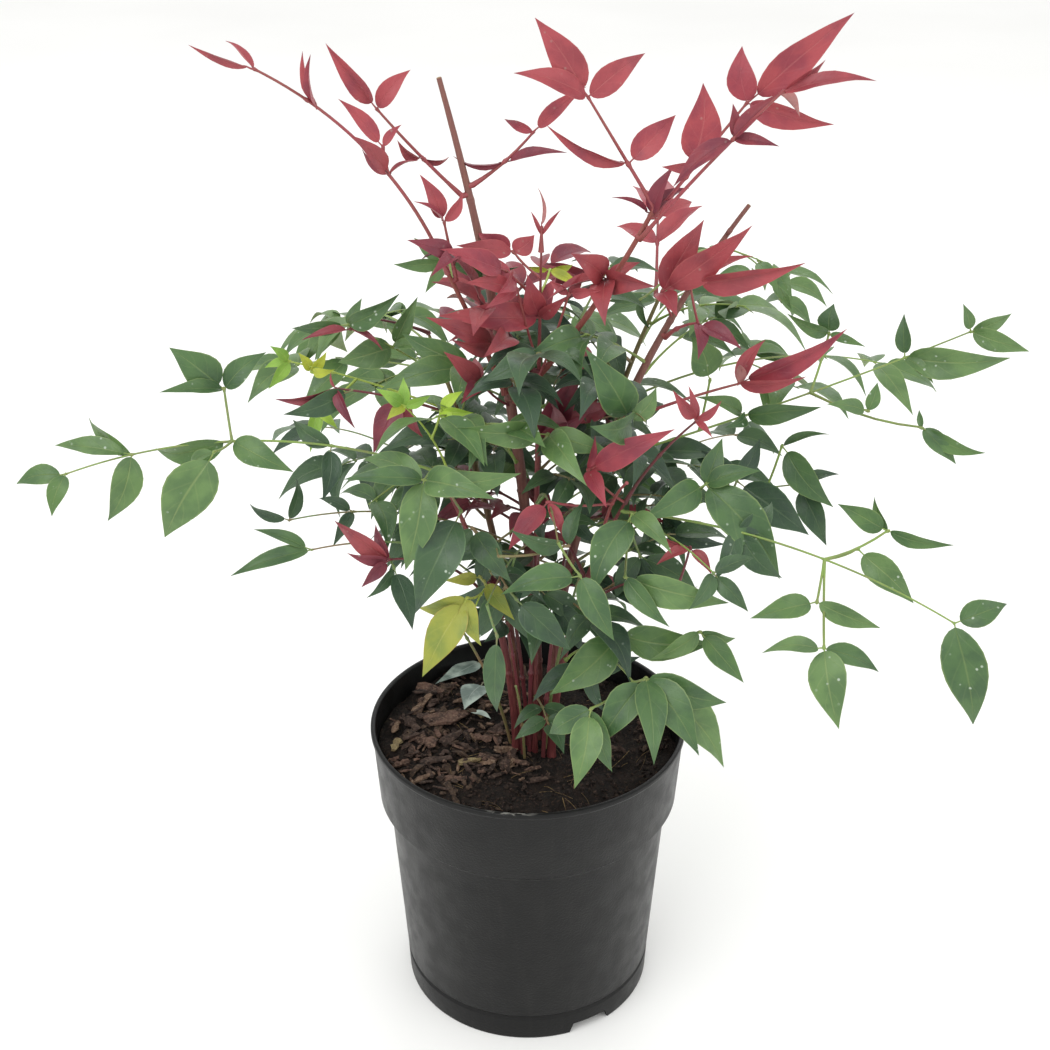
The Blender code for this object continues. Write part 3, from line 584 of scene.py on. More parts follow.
worst = 0.0
for frond in plants:      # the plan has to lie where the solids do
    points = [p for twig in frond.twigs for p in twig.shape(twigRule["sides"])[0]]
    points += [p for leaf in frond.leaves for p in leaf[0]]
    low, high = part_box(frond.name)
    for axis in range(3):
        worst = max(worst, abs(min(p[axis] for p in points) - low[axis]),
                    abs(max(p[axis] for p in points) - high[axis]))
print(f"plan: {len(plants)} compound leaves, {sum(len(f.poses) for f in plants)} leaflets, "
      f"at most {worst * 1000:.2f} mm from the solids")

# finer sprigs of the same rule and in the same units, on the canes and boughs
sprigs = [
    ("sprig_04", "cane_tall", 0.61, 90, 30, 20, 50, ((0.5, 14),), 38, "deep"),
    ("sprig_05", "cane_right", 0.72, 200, 40, 20, 40, ((0.5, 0),), 38, "green"),
    ("sprig_06", "cane_right", 0.66, 120, 30, 10, 45, ((0.5, 0),), 38, "deep"),
    ("sprig_07", "cane_right", 0.7, 40, 36, 30, 55, ((0.55, 0),), 38, "green"),
    ("sprig_10", "cane_centre", 0.6, 40, 30, 20, 55, ((0.5, 14),), 38, "deep"),
    ("sprig_12", "cane_back", 0.96, 250, 50, 20, 50, ((0.5, 0),), 38, "deep"),
    ("sprig_13", "cane_back", 0.86, 330, 40, 30, 55, ((0.5, 0),), 38, "green"),
    ("sprig_14", "cane_back", 0.72, 200, 40, 30, 55, ((0.5, 12),), 38, "deep"),
    ("sprig_15", "cane_back_right", 0.88, 330, 40, 40, 60, ((0.55, 0),), 38, "green"),
    ("sprig_16", "cane_back_right", 0.8, 210, 36, 20, 50, ((0.5, 0),), 38, "deep"),
    ("sprig_17", "cane_back_left", 0.84, 40, 40, 20, 50, ((0.5, 0),), 38, "deep"),
    ("sprig_18", "cane_back_left", 0.92, 60, 44, 20, 45, ((0.5, 0),), 36, "wine"),
    ("sprig_19", "bough_right", 0.42, 60, 40, 20, 45, ((0.5, 0),), 36, "deep"),
    ("sprig_21", "bough_right", 0.24, 260, 36, 20, 40, ((0.5, 0),), 36, "deep"),
    ("sprig_23", "cane_tall", 0.42, 30, 36, 30, 60, ((0.5, 14),), 38, "deep"),
    ("sprig_24", "cane_right", 0.5, 80, 30, 20, 50, ((0.5, 0),), 38, "deep"),
    ("sprig_25", "cane_front_right", 0.7, 20, 36, 30, 50, ((0.5, 0),), 36, "deep"),
    ("sprig_26", "cane_front_left", 0.78, 120, 40, 20, 45, ((0.5, 0),), 36, "deep"),
    ("sprig_27", "cane_back_left", 0.66, 230, 30, 30, 55, ((0.5, 14),), 38, "deep"),
    ("sprig_28", "cane_tall", 0.56, 350, 30, 20, 50, ((0.5, 0),), 36, "deep"),
    ("sprig_29", "cane_centre", 0.36, 300, 30, 40, 60, ((0.5, 14),), 38, "deep"),
    ("sprig_30", "cane_back_right", 0.62, 300, 30, 30, 55, ((0.5, 14),), 38, "deep"),
    ("sprig_31", "cane_back", 0.5, 260, 30, 30, 50, ((0.5, 0),), 36, "deep"),
    ("sprig_32", "cane_right", 0.46, 250, 30, 30, 50, ((0.5, 0),), 36, "deep"),
]
# and more by turns of a steady angle: inside the crown up every cane, and out from the back canes
spirals = {
    "inner": dict(canes=[row[0] for row in canes], shares=(0.34, 0.47, 0.59, 0.68), start=0, turn=137.5,
                  climb=34, lean=24, length=46, arm=0, leaf=34, styles=("wine", "deep", "deep")),
    "behind": dict(canes=("cane_back", "cane_back_left", "cane_back_right"), shares=(0.56, 0.70, 0.84),
                   start=40, turn=137.5, climb=30, lean=44, length=72, arm=16, leaf=40,
                   styles=("green", "deep")),
}
for label, look in spirals.items():
    for number, (cane, share) in enumerate([(c, s) for c in look["canes"] for s in look["shares"]]):
        if "front" in cane and share == look["shares"][0]:
            continue                 # the photograph shows bare canes there
        sprigs.append((f"{label}_{number:02d}", cane, share, (look["start"] + look["turn"] * number) % 360,
                       look["climb"], look["lean"], look["length"], ((0.5, look["arm"]),), look["leaf"],
                       look["styles"][number % len(look["styles"])]))
finer = [Frond(row, limbs, taken) for row in sprigs]
print(f"sprigs: {len(finer)} finer ones, {sum(len(f.poses) for f in finer)} leaflets")


# how the photo was taken: where a point of a known depth or height lies, from its pixel in the picture
stageLook = {
    "eye": (-0.0018, -0.81, 0.74), "down": 27.6, "lens": 55.27, "pixels": 1050,
    "floor": "#FBFBF9", "floorShade": "#EFEFEC", "floorHalf": 30.0, "world": 1.0,
    "lamps": {"key": (22.0, 1.6, (-0.9, -1.2, 2.1)),     # power, size and place
              "fill": (7.0, 1.4, (1.5, -0.9, 1.2)),
              "back": (8.0, 1.4, (0.4, 1.6, 1.7))},
    "aim": (0, 0, 0.3),
}


def seenAt(u, v, y=None, z=None):
    focal = stageLook["lens"] / 36 * stageLook["pixels"]
    right, up = (u - stageLook["pixels"] / 2) / focal, (stageLook["pixels"] / 2 - v) / focal
    down = math.radians(stageLook["down"])
    ray = Vector((right, math.cos(down) + up * math.sin(down), up * math.cos(down) - math.sin(down)))
    eye = Vector(stageLook["eye"])
    return eye + ray * ((y - eye.y) / ray.y if z is None else (z - eye.z) / ray.z)


# The sprays that show, read off the picture: name, style, carrier and the share of it where the
# stalk leaves, then the node it leads to as (u, v, depth) or None where the leaflets sit on the carrier.
# Leaflets: tip as (u, v, depth), width in hundredths of the length, and the degrees that the blade is
# turned edge-on. A depth is y in millimetres.
sprays = [
    ("tip_left", "red", "red_shoot_left", 1.0, None, [(188, 46, -62, 24, 58), (227, 37, -45, 30, 52)]),
    ("upper_left", "red", "red_shoot_left", 0.76, None, [(299, 52, -40, 28, 50), (308, 55, -55, 24, 60)]),
    ("arm_left", "red", "red_shoot_left", 0.42, (383, 147, -34), [(338, 98, -30, 32, 22),
     (402, 123, -26, 36, 20)]),
    ("knot_left", "wine", "red_shoot_left", 0.42, None, [(355, 136, -50, 36, 25), (360, 150, -30, 28, 40),
     (417, 157, -26, 24, 60)]),
    ("high_left", "red", "red_top_left", 1.0, None, [(325, 46, -20, 28, 18), (410, 69, -6, 46, 12)]),
    ("mid_left", "wine", "red_top_left", 0.45, None, [(397, 142, -18, 34, 40), (451, 160, 10, 26, 50)]),
    ("sprig_left", "red", "red_sprig_left", 1.0, None, [(420, 175, -30, 40, 10), (464, 191, -18, 40, 25),
     (416, 200, -42, 26, 64)]),
    ("low_left", "wine", "red_sprig_left", 0.25, (458, 255, -27), [(408, 240, -40, 40, 18),
     (430, 275, -52, 34, 35), (420, 257, -10, 26, 62)]),
    ("high_mid", "red", "red_top_mid", 1.0, None, [(584, 86, -6, 28, 22), (502, 119, 12, 32, 25)]),
    ("mid_mid", "wine", "red_top_mid", 0.48, None, [(566, 151, -10, 24, 42), (452, 163, 4, 22, 60)]),
    ("top_centre", "red", "red_crown_left", 1.0, None, [(535, 18, -30, 42, 5), (647, 54, -22, 44, 8),
     (514, 72, -48, 36, 32)]),
    ("second_centre", "red", "red_crown_left", 0.4, None, [(675, 113, -20, 48, 8),
     (545, 131, -40, 22, 48)]),
    ("fork_centre", "wine", "bough_right", 0.98, None, [(615, 194, -34, 24, 50), (671, 166, -36, 40, 30),
     (690, 186, -20, 34, 35)]),
    ("inner_right", "red", "red_crown_mid", 0.44, None, [(703, 83, -24, 56, 4), (662, 168, -40, 36, 30)]),
    ("end_right", "red", "red_crown_mid", 1.0, None, [(857, 14, -28, 30, 12), (742, 46, -24, 64, 4),
     (834, 127, -40, 34, 20)]),
    ("outer_right", "wine", "red_crown_right", 0.68, None, [(734, 103, -52, 44, 28), (781, 90, -60, 28, 28),
     (779, 145, -64, 34, 20), (672, 186, -60, 32, 24)]),
    ("far_right", "red", "red_crown_right", 0.98, None, [(827, 60, -66, 30, 32), (877, 75, -74, 22, 38),
     (800, 112, -50, 30, 45)]),
    ("wide_right", "red", "cane_right", 0.8, (662, 292, -14), [(753, 231, -26, 36, 28),
     (706, 221, -8, 48, 16), (676, 313, -40, 50, 24)]),
    ("wide_low", "red", "red_mid_right", 1.0, (690, 284, -18), [(806, 266, -40, 26, 30),
     (752, 252, -14, 30, 40)]),
    ("wide_under", "wine", "red_mid_right", 1.0, None, [(742, 348, -30, 40, 24), (700, 358, -36, 42, 28)]),
    ("wide_mid", "wine", "red_centre_right", 1.0, None, [(572, 254, -34, 56, 10), (652, 288, -46, 44, 24),
     (603, 318, -52, 46, 22), (546, 298, -30, 24, 52), (640, 262, -16, 46, 14)]),
    ("round_pair", "red", "cane_centre", 0.955, (513, 252, -2), [(478, 233, 0, 72, 6), (535, 234, 2, 86, 4),
     (458, 243, -10, 40, 20)]),
    ("fan_up", "red", "cane_centre", 0.885, None, [(528, 277, -20, 50, 10), (440, 313, -26, 34, 14),
     (566, 300, -20, 40, 18), (504, 292, 10, 40, 25), (556, 276, 6, 46, 14)]),
    ("fan_left", "red", "cane_centre", 0.8, (517, 289, -24), [(467, 283, -34, 40, 14),
     (492, 268, -18, 42, 18), (486, 306, -40, 38, 24)]),
    ("fan_right", "red", "cane_centre", 0.78, (569, 294, -26), [(600, 291, -34, 40, 16),
     (583, 272, -20, 44, 10), (548, 282, -22, 46, 20)]),
    ("blade_left", "wine", "cane_tall", 0.62, (498, 346, -14), [(428, 316, -30, 30, 14),
     (455, 344, -34, 36, 34), (480, 322, 4, 34, 20)]),
    ("bright_blade", "red", "cane_front_right", 1.0, (588, 470, -64), [(672, 432, -78, 32, 10),
     (640, 446, -50, 34, 24), (606, 505, -86, 44, 14), (596, 436, -60, 32, 30)]),
    ("thin_blade", "wine", "cane_centre", 0.66, None, [(590, 413, -30, 28, 24), (584, 360, -20, 34, 20),
     (556, 400, -40, 34, 30)]),
    ("dark_left", "wine", "cane_tall", 0.55, (482, 384, -22), [(446, 352, -30, 44, 16),
     (462, 400, -44, 46, 20), (508, 372, -34, 40, 20), (474, 356, 0, 40, 14)]),
    ("side_blade", "red", "red_side_right", 0.96, None, [(848, 334, -32, 25, 26), (764, 338, -10, 40, 30),
     (806, 378, -40, 26, 36), (742, 362, -30, 36, 24)]),
    ("high_green", "green", "green_mid_right", 0.76, (632, 421, -56), [(586, 352, -64, 48, 6),
     (658, 387, -46, 52, 10), (596, 428, -92, 46, 24)]),
    ("fold_left", "green", "green_front_left", 1.0, None, [(521, 475, -94, 36, 24),
     (489, 494, -112, 48, 12), (404, 572, -104, 48, 8), (345, 476, -98, 34, 28), (360, 456, -66, 38, 24)]),
    ("hanging_left", "deep", "green_front_left", 0.5, (461, 511, -88), [(412, 614, -112, 48, 6)]),
    ("front_dark", "deep", "green_front_mid", 0.72, (472, 528, -78), [(509, 582, -96, 50, 8),
     (446, 560, -86, 44, 20)]),
    ("front_olive", "gold", "lime_front_low", 0.5, (480, 577, -56), [(445, 581, -64, 44, 20)]),
    ("front_arch", "deep", "green_front_mid", 1.0, (568, 546, -86), [(511, 530, -96, 36, 26),
     (584, 500, -70, 40, 24)]),
    ("front_crimson", "red", "red_inner_front", 0.5, (548, 502, -70), [(508, 548, -86, 44, 14),
     (566, 540, -82, 36, 26)]),
    ("flat_centre", "green", "cane_centre", 0.66, (548, 434, -52), [(455, 432, -70, 34, 20),
     (582, 483, -90, 44, 14), (612, 452, -60, 46, 18)]),
    ("high_fold", "green", "cane_back_left", 0.8, (470, 366, -6), [(380, 388, -16, 40, 16),
     (400, 334, 4, 46, 14), (456, 402, -40, 50, 12)]),
    ("low_centre", "green", "deep_front_high", 1.0, (580, 576, -104), [(502, 590, -112, 44, 18),
     (616, 642, -118, 46, 10)]),
    ("low_spotted", "deep", "deep_front_left", 0.74, (516, 599, -92), [(570, 652, -104, 50, 8),
     (540, 566, -80, 40, 24)]),
    ("low_hanging", "deep", "deep_front_left", 1.0, (497, 636, -104), [(493, 717, -112, 32, 18)]),
    ("hanging_right", "green", "green_front_right", 0.4, (632, 514, -76), [(592, 593, -104, 48, 6),
     (672, 548, -98, 44, 20)]),
    ("right_long", "green", "green_front_right", 0.4, (625, 577, -90), [(728, 604, -104, 38, 22),
     (668, 628, -110, 40, 20)]),
    ("right_end", "deep", "green_front_right", 1.0, None, [(748, 612, -106, 44, 12),
     (688, 610, -110, 44, 14), (756, 556, -86, 42, 20)]),
    ("young_right", "red", "red_young_front", 1.0, None, [(672, 392, -60, 38, 18), (722, 402, -56, 36, 20),
     (712, 436, -68, 34, 26), (690, 385, -48, 34, 30)]),
    ("low_red_right", "wine", "red_low_front", 1.0, (690, 548, -72), [(712, 574, -82, 42, 14),
     (656, 564, -80, 36, 24), (650, 530, -66, 26, 40)]),
    ("low_red_left", "wine", "red_low_left", 1.0, None, [(361, 588, -64, 40, 14), (347, 556, -58, 34, 24),
     (333, 521, -46, 36, 22), (374, 524, -40, 36, 26)]),
    ("left_wing", "green", "green_low_left", 1.0, None, [(254, 527, -56, 28, 30), (228, 574, -72, 26, 24)]),
    ("left_under", "deep", "green_low_left", 0.58, (394, 568, -52), [(414, 629, -68, 44, 14),
     (368, 600, -62, 36, 30)]),
    ("left_back_near", "deep", "deep_left", 0.44, None, [(384, 566, -26, 46, 14), (392, 478, 6, 44, 20),
     (438, 560, -34, 44, 18)]),
    ("left_back_mid", "deep", "deep_left", 0.74, None, [(318, 496, -6, 38, 24), (332, 546, -30, 40, 20)]),
    ("left_back_end", "deep", "deep_left", 1.0, None, [(246, 507, -14, 30, 28), (300, 476, -4, 36, 26)]),
    ("high_back", "green", "bough_left", 0.8, (449, 262, 6), [(392, 266, 12, 30, 26),
     (412, 237, 22, 36, 24), (520, 269, 14, 24, 40), (424, 292, 4, 38, 22)]),
    ("high_gold", "lime", "cane_centre", 0.93, (550, 270, 16), [(524, 267, 20, 30, 30),
     (575, 266, 24, 34, 24), (582, 286, 8, 34, 24)]),
    ("high_right_back", "green", "cane_back_right", 0.98, (640, 300, 40), [(606, 300, 46, 34, 24),
     (648, 330, 30, 34, 30)]),
    ("side_right", "green", "deep_right", 0.42, (706, 484, -50), [(643, 520, -76, 46, 14),
     (722, 438, -40, 54, 8), (782, 580, -74, 44, 8), (760, 470, -56, 46, 16)]),
    ("gold_trio", "gold", "lime_front_low", 0.8, (467, 598, -100), [(422, 677, -118, 47, 5),
     (481, 647, -110, 46, 10), (416, 611, -96, 44, 24)]),
    ("gold_single", "gold", "lime_front_low", 0.62, (484, 581, -70), [(515, 619, -86, 42, 14)]),
    ("long_left_up", "green", "green_long_left", 0.56, (224, 389, -35), [(169, 349, -40, 66, 6),
     (266, 351, -26, 50, 10), (161, 390, -56, 30, 34)]),
    ("long_left_mid", "green", "green_long_left", 0.56, None, [(150, 456, -44, 36, 24),
     (293, 470, -62, 50, 14)]),
    ("long_left_down", "green", "green_long_left", 0.56, (214, 452, -70), [(165, 541, -82, 56, 5),
     (186, 470, -62, 34, 40)]),
    ("long_left_far", "green", "green_long_left", 0.82, None, [(52, 442, -50, 30, 30),
     (108, 523, -72, 50, 8), (82, 420, -40, 30, 40)]),
    ("long_left_end", "green", "green_long_left", 1.0, None, [(14, 483, -62, 46, 20),
     (50, 517, -76, 52, 10)]),
    ("long_left_near", "deep", "green_long_left", 0.3, None, [(322, 500, -60, 46, 12),
     (292, 420, -30, 44, 14)]),
    ("high_right_up", "green", "green_high_right", 0.56, (829, 334, 30), [(834, 303, 34, 86, 5),
     (787, 314, 24, 34, 20), (866, 345, 22, 32, 20)]),
    ("high_right_low", "green", "green_high_right", 0.56, (868, 411, -30), [(828, 404, -36, 42, 16),
     (878, 382, -22, 54, 10)]),
    ("high_right_side", "green", "green_high_right", 0.56, (922, 428, -42), [(985, 456, -56, 30, 24),
     (958, 464, -52, 44, 10), (918, 409, -34, 40, 20)]),
    ("high_right_far", "green", "green_high_right", 0.82, None, [(904, 313, 8, 44, 16),
     (1010, 362, -16, 38, 12), (934, 382, -14, 40, 20)]),
    ("high_right_end", "green", "green_high_right", 1.0, None, [(963, 304, 4, 50, 16),
     (1030, 352, -8, 42, 12), (1014, 314, 8, 40, 24)]),
    ("low_right_up", "green", "green_low_right", 0.6, (888, 531, -62), [(837, 506, -56, 48, 12),
     (873, 497, -48, 32, 24), (954, 547, -74, 28, 26)]),
    ("low_right_near", "green", "green_low_right", 0.6, (858, 549, -72), [(914, 605, -90, 46, 10)]),
    ("low_right_hang", "green", "green_low_right", 0.6, (817, 602, -106), [(750, 618, -116, 42, 14),
     (881, 631, -112, 36, 18)]),
    ("low_right_lowest", "green", "green_low_right", 0.6, (824, 648, -128), [(765, 651, -136, 34, 22),
     (840, 729, -151, 56, 5), (881, 672, -130, 40, 14)]),
    ("low_right_end", "green", "green_low_right", 1.0, None, [(1010, 602, -104, 56, 8),
     (973, 729, -124, 46, 6)]),
    ("low_right_inner", "deep", "green_low_right", 0.34, None, [(782, 581, -80, 46, 8),
     (716, 580, -86, 46, 12), (778, 500, -50, 44, 18)]),
    ("over_pot_high", "green", "green_over_pot", 0.46, (622, 636, -72), [(550, 694, -92, 52, 6),
     (714, 645, -80, 46, 14)]),
    ("over_pot_mid", "green", "green_over_pot", 0.76, (646, 678, -108), [(596, 747, -128, 48, 8),
     (699, 754, -136, 50, 6), (727, 704, -110, 46, 14), (729, 768, -120, 42, 18),
     (655, 762, -150, 42, 14)]),
    ("over_pot_low", "green", "green_over_pot", 0.76, (591, 709, -120), [(574, 789, -148, 48, 6),
     (547, 734, -112, 50, 12), (611, 774, -128, 42, 20)]),
    ("trio_end", "green", "green_trio_left", 1.0, None, [(291, 330, 12, 34, 24), (361, 296, 20, 42, 20),
     (398, 298, 4, 42, 16)]),
    ("trio_joint", "green", "green_trio_left", 0.55, None, [(418, 298, 26, 38, 18), (339, 364, 14, 66, 8),
     (432, 346, 12, 32, 30)]),
    ("thin_red", "wine", "red_high_left", 1.0, (351, 329, 10), [(301, 339, 4, 24, 36),
     (384, 347, 2, 24, 36)]),
    ("side_red_end", "wine", "red_side_left", 1.0, None, [(274, 401, -36, 24, 34), (354, 430, -42, 34, 34),
     (330, 371, -22, 22, 44)]),
    ("side_red_mid", "wine", "red_side_left", 0.66, None, [(371, 452, -34, 54, 14),
     (422, 440, -24, 36, 24)]),
    ("side_deep", "deep", "red_side_left", 0.92, None, [(285, 417, -42, 40, 16)]),
    ("round_right", "green", "green_high_right", 0.25, (710, 380, 0), [(693, 336, 6, 84, 8)]),
    ("right_upper", "green", "green_high_right", 0.38, None, [(702, 396, -10, 36, 24),
     (728, 427, -20, 40, 18), (820, 409, -16, 36, 24)]),
    ("right_arch", "green", "deep_right", 0.86, (782, 446, 8), [(833, 508, -10, 44, 12),
     (830, 433, 12, 24, 36)]),
    ("right_big", "deep", "deep_right", 0.7, (737, 481, -4), [(809, 536, -22, 52, 8),
     (762, 438, 10, 44, 14), (688, 446, 8, 46, 14)]),
    ("right_inner", "deep", "deep_right", 0.4, None, [(640, 560, -14, 44, 20), (724, 548, -12, 42, 20),
     (664, 470, 14, 42, 18)]),
    ("right_spotted", "deep", "deep_right", 1.0, None, [(826, 546, -6, 46, 14), (840, 474, 16, 34, 28)]),
    ("over_pot_side", "green", "green_over_pot", 0.46, (700, 632, -84), [(745, 682, -100, 44, 16),
     (652, 662, -92, 42, 20), (738, 640, -80, 40, 22)]),
    ("pot_back", "deep", "green_over_pot", 0.46, (590, 668, -50), [(531, 698, -60, 42, 20),
     (640, 658, -56, 46, 24), (604, 716, -64, 42, 30)]),
    ("gap_left", "deep", "deep_front_left", 0.44, (505, 588, -50), [(476, 640, -58, 48, 14),
     (450, 600, -44, 44, 20), (528, 640, -60, 42, 30)]),
    ("gap_centre", "deep", "green_front_mid", 0.45, (540, 590, -40), [(586, 632, -50, 48, 16),
     (520, 636, -46, 42, 26), (560, 560, -34, 46, 20)]),
    ("gap_right", "deep", "green_front_right", 0.4, (640, 556, -40), [(700, 592, -50, 44, 20),
     (612, 600, -44, 46, 16), (660, 610, -50, 42, 24)]),
    ("gap_high", "deep", "deep_front_high", 0.42, (500, 540, -30), [(440, 560, -30, 44, 20),
     (476, 596, -40, 46, 18)]),
    ("lime_tip", "lime", "lime_left", 1.0, None, [(271, 346, 28, 50, 12), (264, 367, 30, 44, 20),
     (269, 389, 22, 44, 14)]),
    ("lime_second", "lime", "lime_left", 0.74, (312, 372, 32), [(299, 354, 30, 54, 12),
     (326, 353, 34, 52, 14), (333, 371, 26, 50, 18)]),
    ("lime_third", "lime", "lime_left", 0.6, (318, 408, 6), [(292, 416, 2, 40, 16), (311, 453, -6, 38, 14),
     (337, 430, 0, 42, 14)]),
    ("lime_front_tip", "lime", "lime_front", 1.0, None, [(377, 388, -58, 46, 14), (402, 377, -48, 52, 12),
     (431, 396, -50, 44, 14), (387, 420, -64, 50, 12)]),
    ("lime_front_side", "lime", "lime_front", 0.58, (441, 411, -50), [(472, 414, -54, 40, 16),
     (462, 391, -44, 50, 14), (453, 432, -60, 50, 12)]),
]
handLaid = {row[2] for row in sprays} - set(limbs)      # these compound leaves keep only their stem

# old leaflets fallen on the compost: base and tip as pixels, height over the compost, width for length
fallen = [(483, 660, 435, 682, 0.004, 0.44), (483, 683, 464, 708, 0.005, 0.50),
          (468, 711, 491, 718, 0.003, 0.40)]

# tints: upper side, its darker patches, midrib and veins, underside
leafTints = {
    "green": [("#55733F", "#46643A", "#8A9A5C", "#8C9F78"), ("#5F7C48", "#4F6B40", "#94A264", "#93A47C"),
              ("#4A683C", "#3C5836", "#7F9258", "#84997A")],
    "deep": [("#3C5638", "#304733", "#6B8156", "#7A9078"), ("#435E3B", "#364D35", "#748858", "#7F9578"),
             ("#344C36", "#2A3F30", "#627A54", "#72887A")],
    "lime": [("#9DBB3C", "#86A638", "#BDCB66", "#B6C77A"), ("#AFB83C", "#93A038", "#C6C765", "#BDBB78"),
             ("#86AC44", "#70983C", "#ABC26A", "#A6BE7C")],
    "gold": [("#8F943A", "#74833A", "#AFAE5C", "#A6A66C"), ("#9A9A3C", "#80883A", "#B6AF5E", "#ACA86E")],
    "red": [("#9E4248", "#883642", "#B66664", "#AC7A7C"), ("#943A44", "#7E303E", "#AE5C60", "#A27074"),
            ("#9E444A", "#8A3A42", "#B66662", "#AE7A78")],
    "old": [("#B4C2B8", "#66766F", "#CCD4CA", "#A4AEA6")],
    "wine": [("#883A42", "#72303E", "#A0565A", "#946468"), ("#964246", "#803840", "#AC605C", "#9C6C6C"),
             ("#7A323E", "#662A38", "#924E54", "#845C62")],
}
leafLooks = {
    "green": dict(spots=0.85, margin="#93A466", roughness=0.40),
    "deep": dict(spots=0.9, margin="#6C8A5C", roughness=0.38),
    "lime": dict(spots=0.0, margin="#BDC466", roughness=0.44),
    "gold": dict(spots=0.0, margin="#B08A48", roughness=0.44),
    "red": dict(spots=0.2, margin="#B5625C", roughness=0.46),
    "old": dict(spots=0.4, margin="#7C8884", roughness=0.55),
    "wine": dict(spots=0.2, margin="#98484C", roughness=0.44),
}
leafFinish = {
    "patch": 0.014, "ribHalf": 0.07, "veinPairs": 8.0, "veinSlant": 0.30, "sideWidth": 0.16,
    "sideShare": 0.28, "veinShare": 0.36, "marginFrom": 0.455, "marginShare": 0.45,
    "spotSpacing": 0.0058, "spotSize": 0.075, "spotGroup": 0.026, "spotTint": "#AEBBAA",
    "sheenSpread": 0.16, "sheenBelow": 0.07,
}
slotOf = {"gold": "leaf_lime", "old": "leaf_deep"}


def leafMaterial(name, tint, spots, margin, roughness):
    # a leathery leaflet: soft satin sheen, a paler midrib, faint side veins and dried water spots
    top, patch, vein, _ = tint
    material, tree, surface, at = newFinish(name, roughness, 0.40)
    look = leafFinish
    uv = addNode(tree, "ShaderNodeUVMap", uv_map="blade")
    across = addNode(tree, "ShaderNodeSeparateXYZ", {0: uv})
    along = across.node.outputs[1]
    fromRib = addNode(tree, "ShaderNodeMath", {0: across, 1: 0.5}, operation="SUBTRACT")
    fromRib = addNode(tree, "ShaderNodeMath", {0: fromRib}, operation="ABSOLUTE")
    rib = addNode(tree, "ShaderNodeMapRange", {0: fromRib, 1: 0.0, 2: look["ribHalf"] / 2, 3: 1.0, 4: 0.0})
    slant = addNode(tree, "ShaderNodeMath", {0: fromRib, 1: -2 * look["veinSlant"], 2: along},
                    operation="MULTIPLY_ADD")
    wave = addNode(tree, "ShaderNodeMath", {0: slant, 1: look["veinPairs"]}, operation="MULTIPLY")
    wave = addNode(tree, "ShaderNodeMath", {0: wave, 1: 1.0}, operation="PINGPONG")
    sideVein = addNode(tree, "ShaderNodeMapRange", {0: wave, 1: 0.0, 2: look["sideWidth"], 3: 1.0, 4: 0.0})
    veins = addNode(tree, "ShaderNodeMath", {0: sideVein, 1: look["sideShare"]}, operation="MULTIPLY")
    veins = addNode(tree, "ShaderNodeMath", {0: rib, 1: veins}, operation="MAXIMUM")
    shown = addNode(tree, "ShaderNodeMath", {0: veins, 1: look["veinShare"]}, operation="MULTIPLY")
    edge = addNode(tree, "ShaderNodeMapRange", {0: fromRib, 1: look["marginFrom"], 2: 0.5,
                                                4: look["marginShare"]})
    patches = mottle(tree, at, look["patch"], low=0.38, high=0.66)
    layers = [(patches, patch), (shown, vein), (edge, margin)]
    if spots:
        dots = addNode(tree, "ShaderNodeTexVoronoi", {"Vector": at, "Scale": 1 / look["spotSpacing"]})
        dots = addNode(tree, "ShaderNodeMapRange", {0: dots, 1: look["spotSize"], 2: look["spotSize"] * 2,
                                                    3: 1.0, 4: 0.0})
        here = mottle(tree, at, look["spotGroup"], low=0.46, high=0.60, most=spots)
        spotted = addNode(tree, "ShaderNodeMath", {0: dots, 1: here}, operation="MULTIPLY")
        layers.append((spotted, look["spotTint"]))
    sheen = mottle(tree, at, 0.009, low=0.3, high=0.7, most=look["sheenSpread"])
    sheen = addNode(tree, "ShaderNodeMath", {0: sheen, 1: roughness - look["sheenBelow"]}, operation="ADD")
    grain = mottle(tree, at, 0.0012, low=0.3, high=0.7, most=0.25)
    height = addNode(tree, "ShaderNodeMath", {0: grain, 1: veins}, operation="SUBTRACT")
    dress(tree, surface, top, layers, height, depth=0.0004, strength=0.5, gloss=sheen)
    return material


def undersideMaterial(name, tint):
    # the underside: paler and dull, with the midrib standing out
    top, _, vein, ground = tint
    return patchyFinish(name, 0.60, 0.3, ground,
                        [(vein, dict(size=0.012, low=0.35, high=0.7, most=0.45)),
                         (top, dict(size=0.0022, low=0.5, high=0.75, most=0.30))],
                        dict(size=0.0016, low=0.3, high=0.7), depth=0.0003, strength=0.4)


# one blade of length 1 and width 1: how it draws out, arches, folds and curls; angles in degrees
bladeShape = {
    "stations": (0.02, 0.06, 0.13, 0.22, 0.33, 0.45, 0.57, 0.68, 0.78, 0.87, 0.95),
    "columns": (-1.0, -0.55, 0.0, 0.55, 1.0),
    "widestPower": 0.65,         # puts the widest place at 0.34 of the length
    "thick": 0.009, "kinds": 8, "seed": 12,
    "sickle": 0.16, "twist": 11.0, "twistFrom": 0.3, "archPower": 0.8, "shoulder": (1.9, 0.9),
    "ripple": 0.010, "ripples": 14, "rippleStart": (0, 6.28),
    "wave": 0.0022, "waveSize": 0.03,      # metres that a tip strays over, and the length of a wave
    "sideStalk": 0.035, "endStalk": 0.10,
    # how far the blades of one style differ, as factors of their values in bladeStyles
    "rippleSpread": (0.3, 1.2), "archSpread": (0.7, 1.3), "riseSpread": (0.6, 1.5),
    "fallSpread": (0.2, 1.5),
}
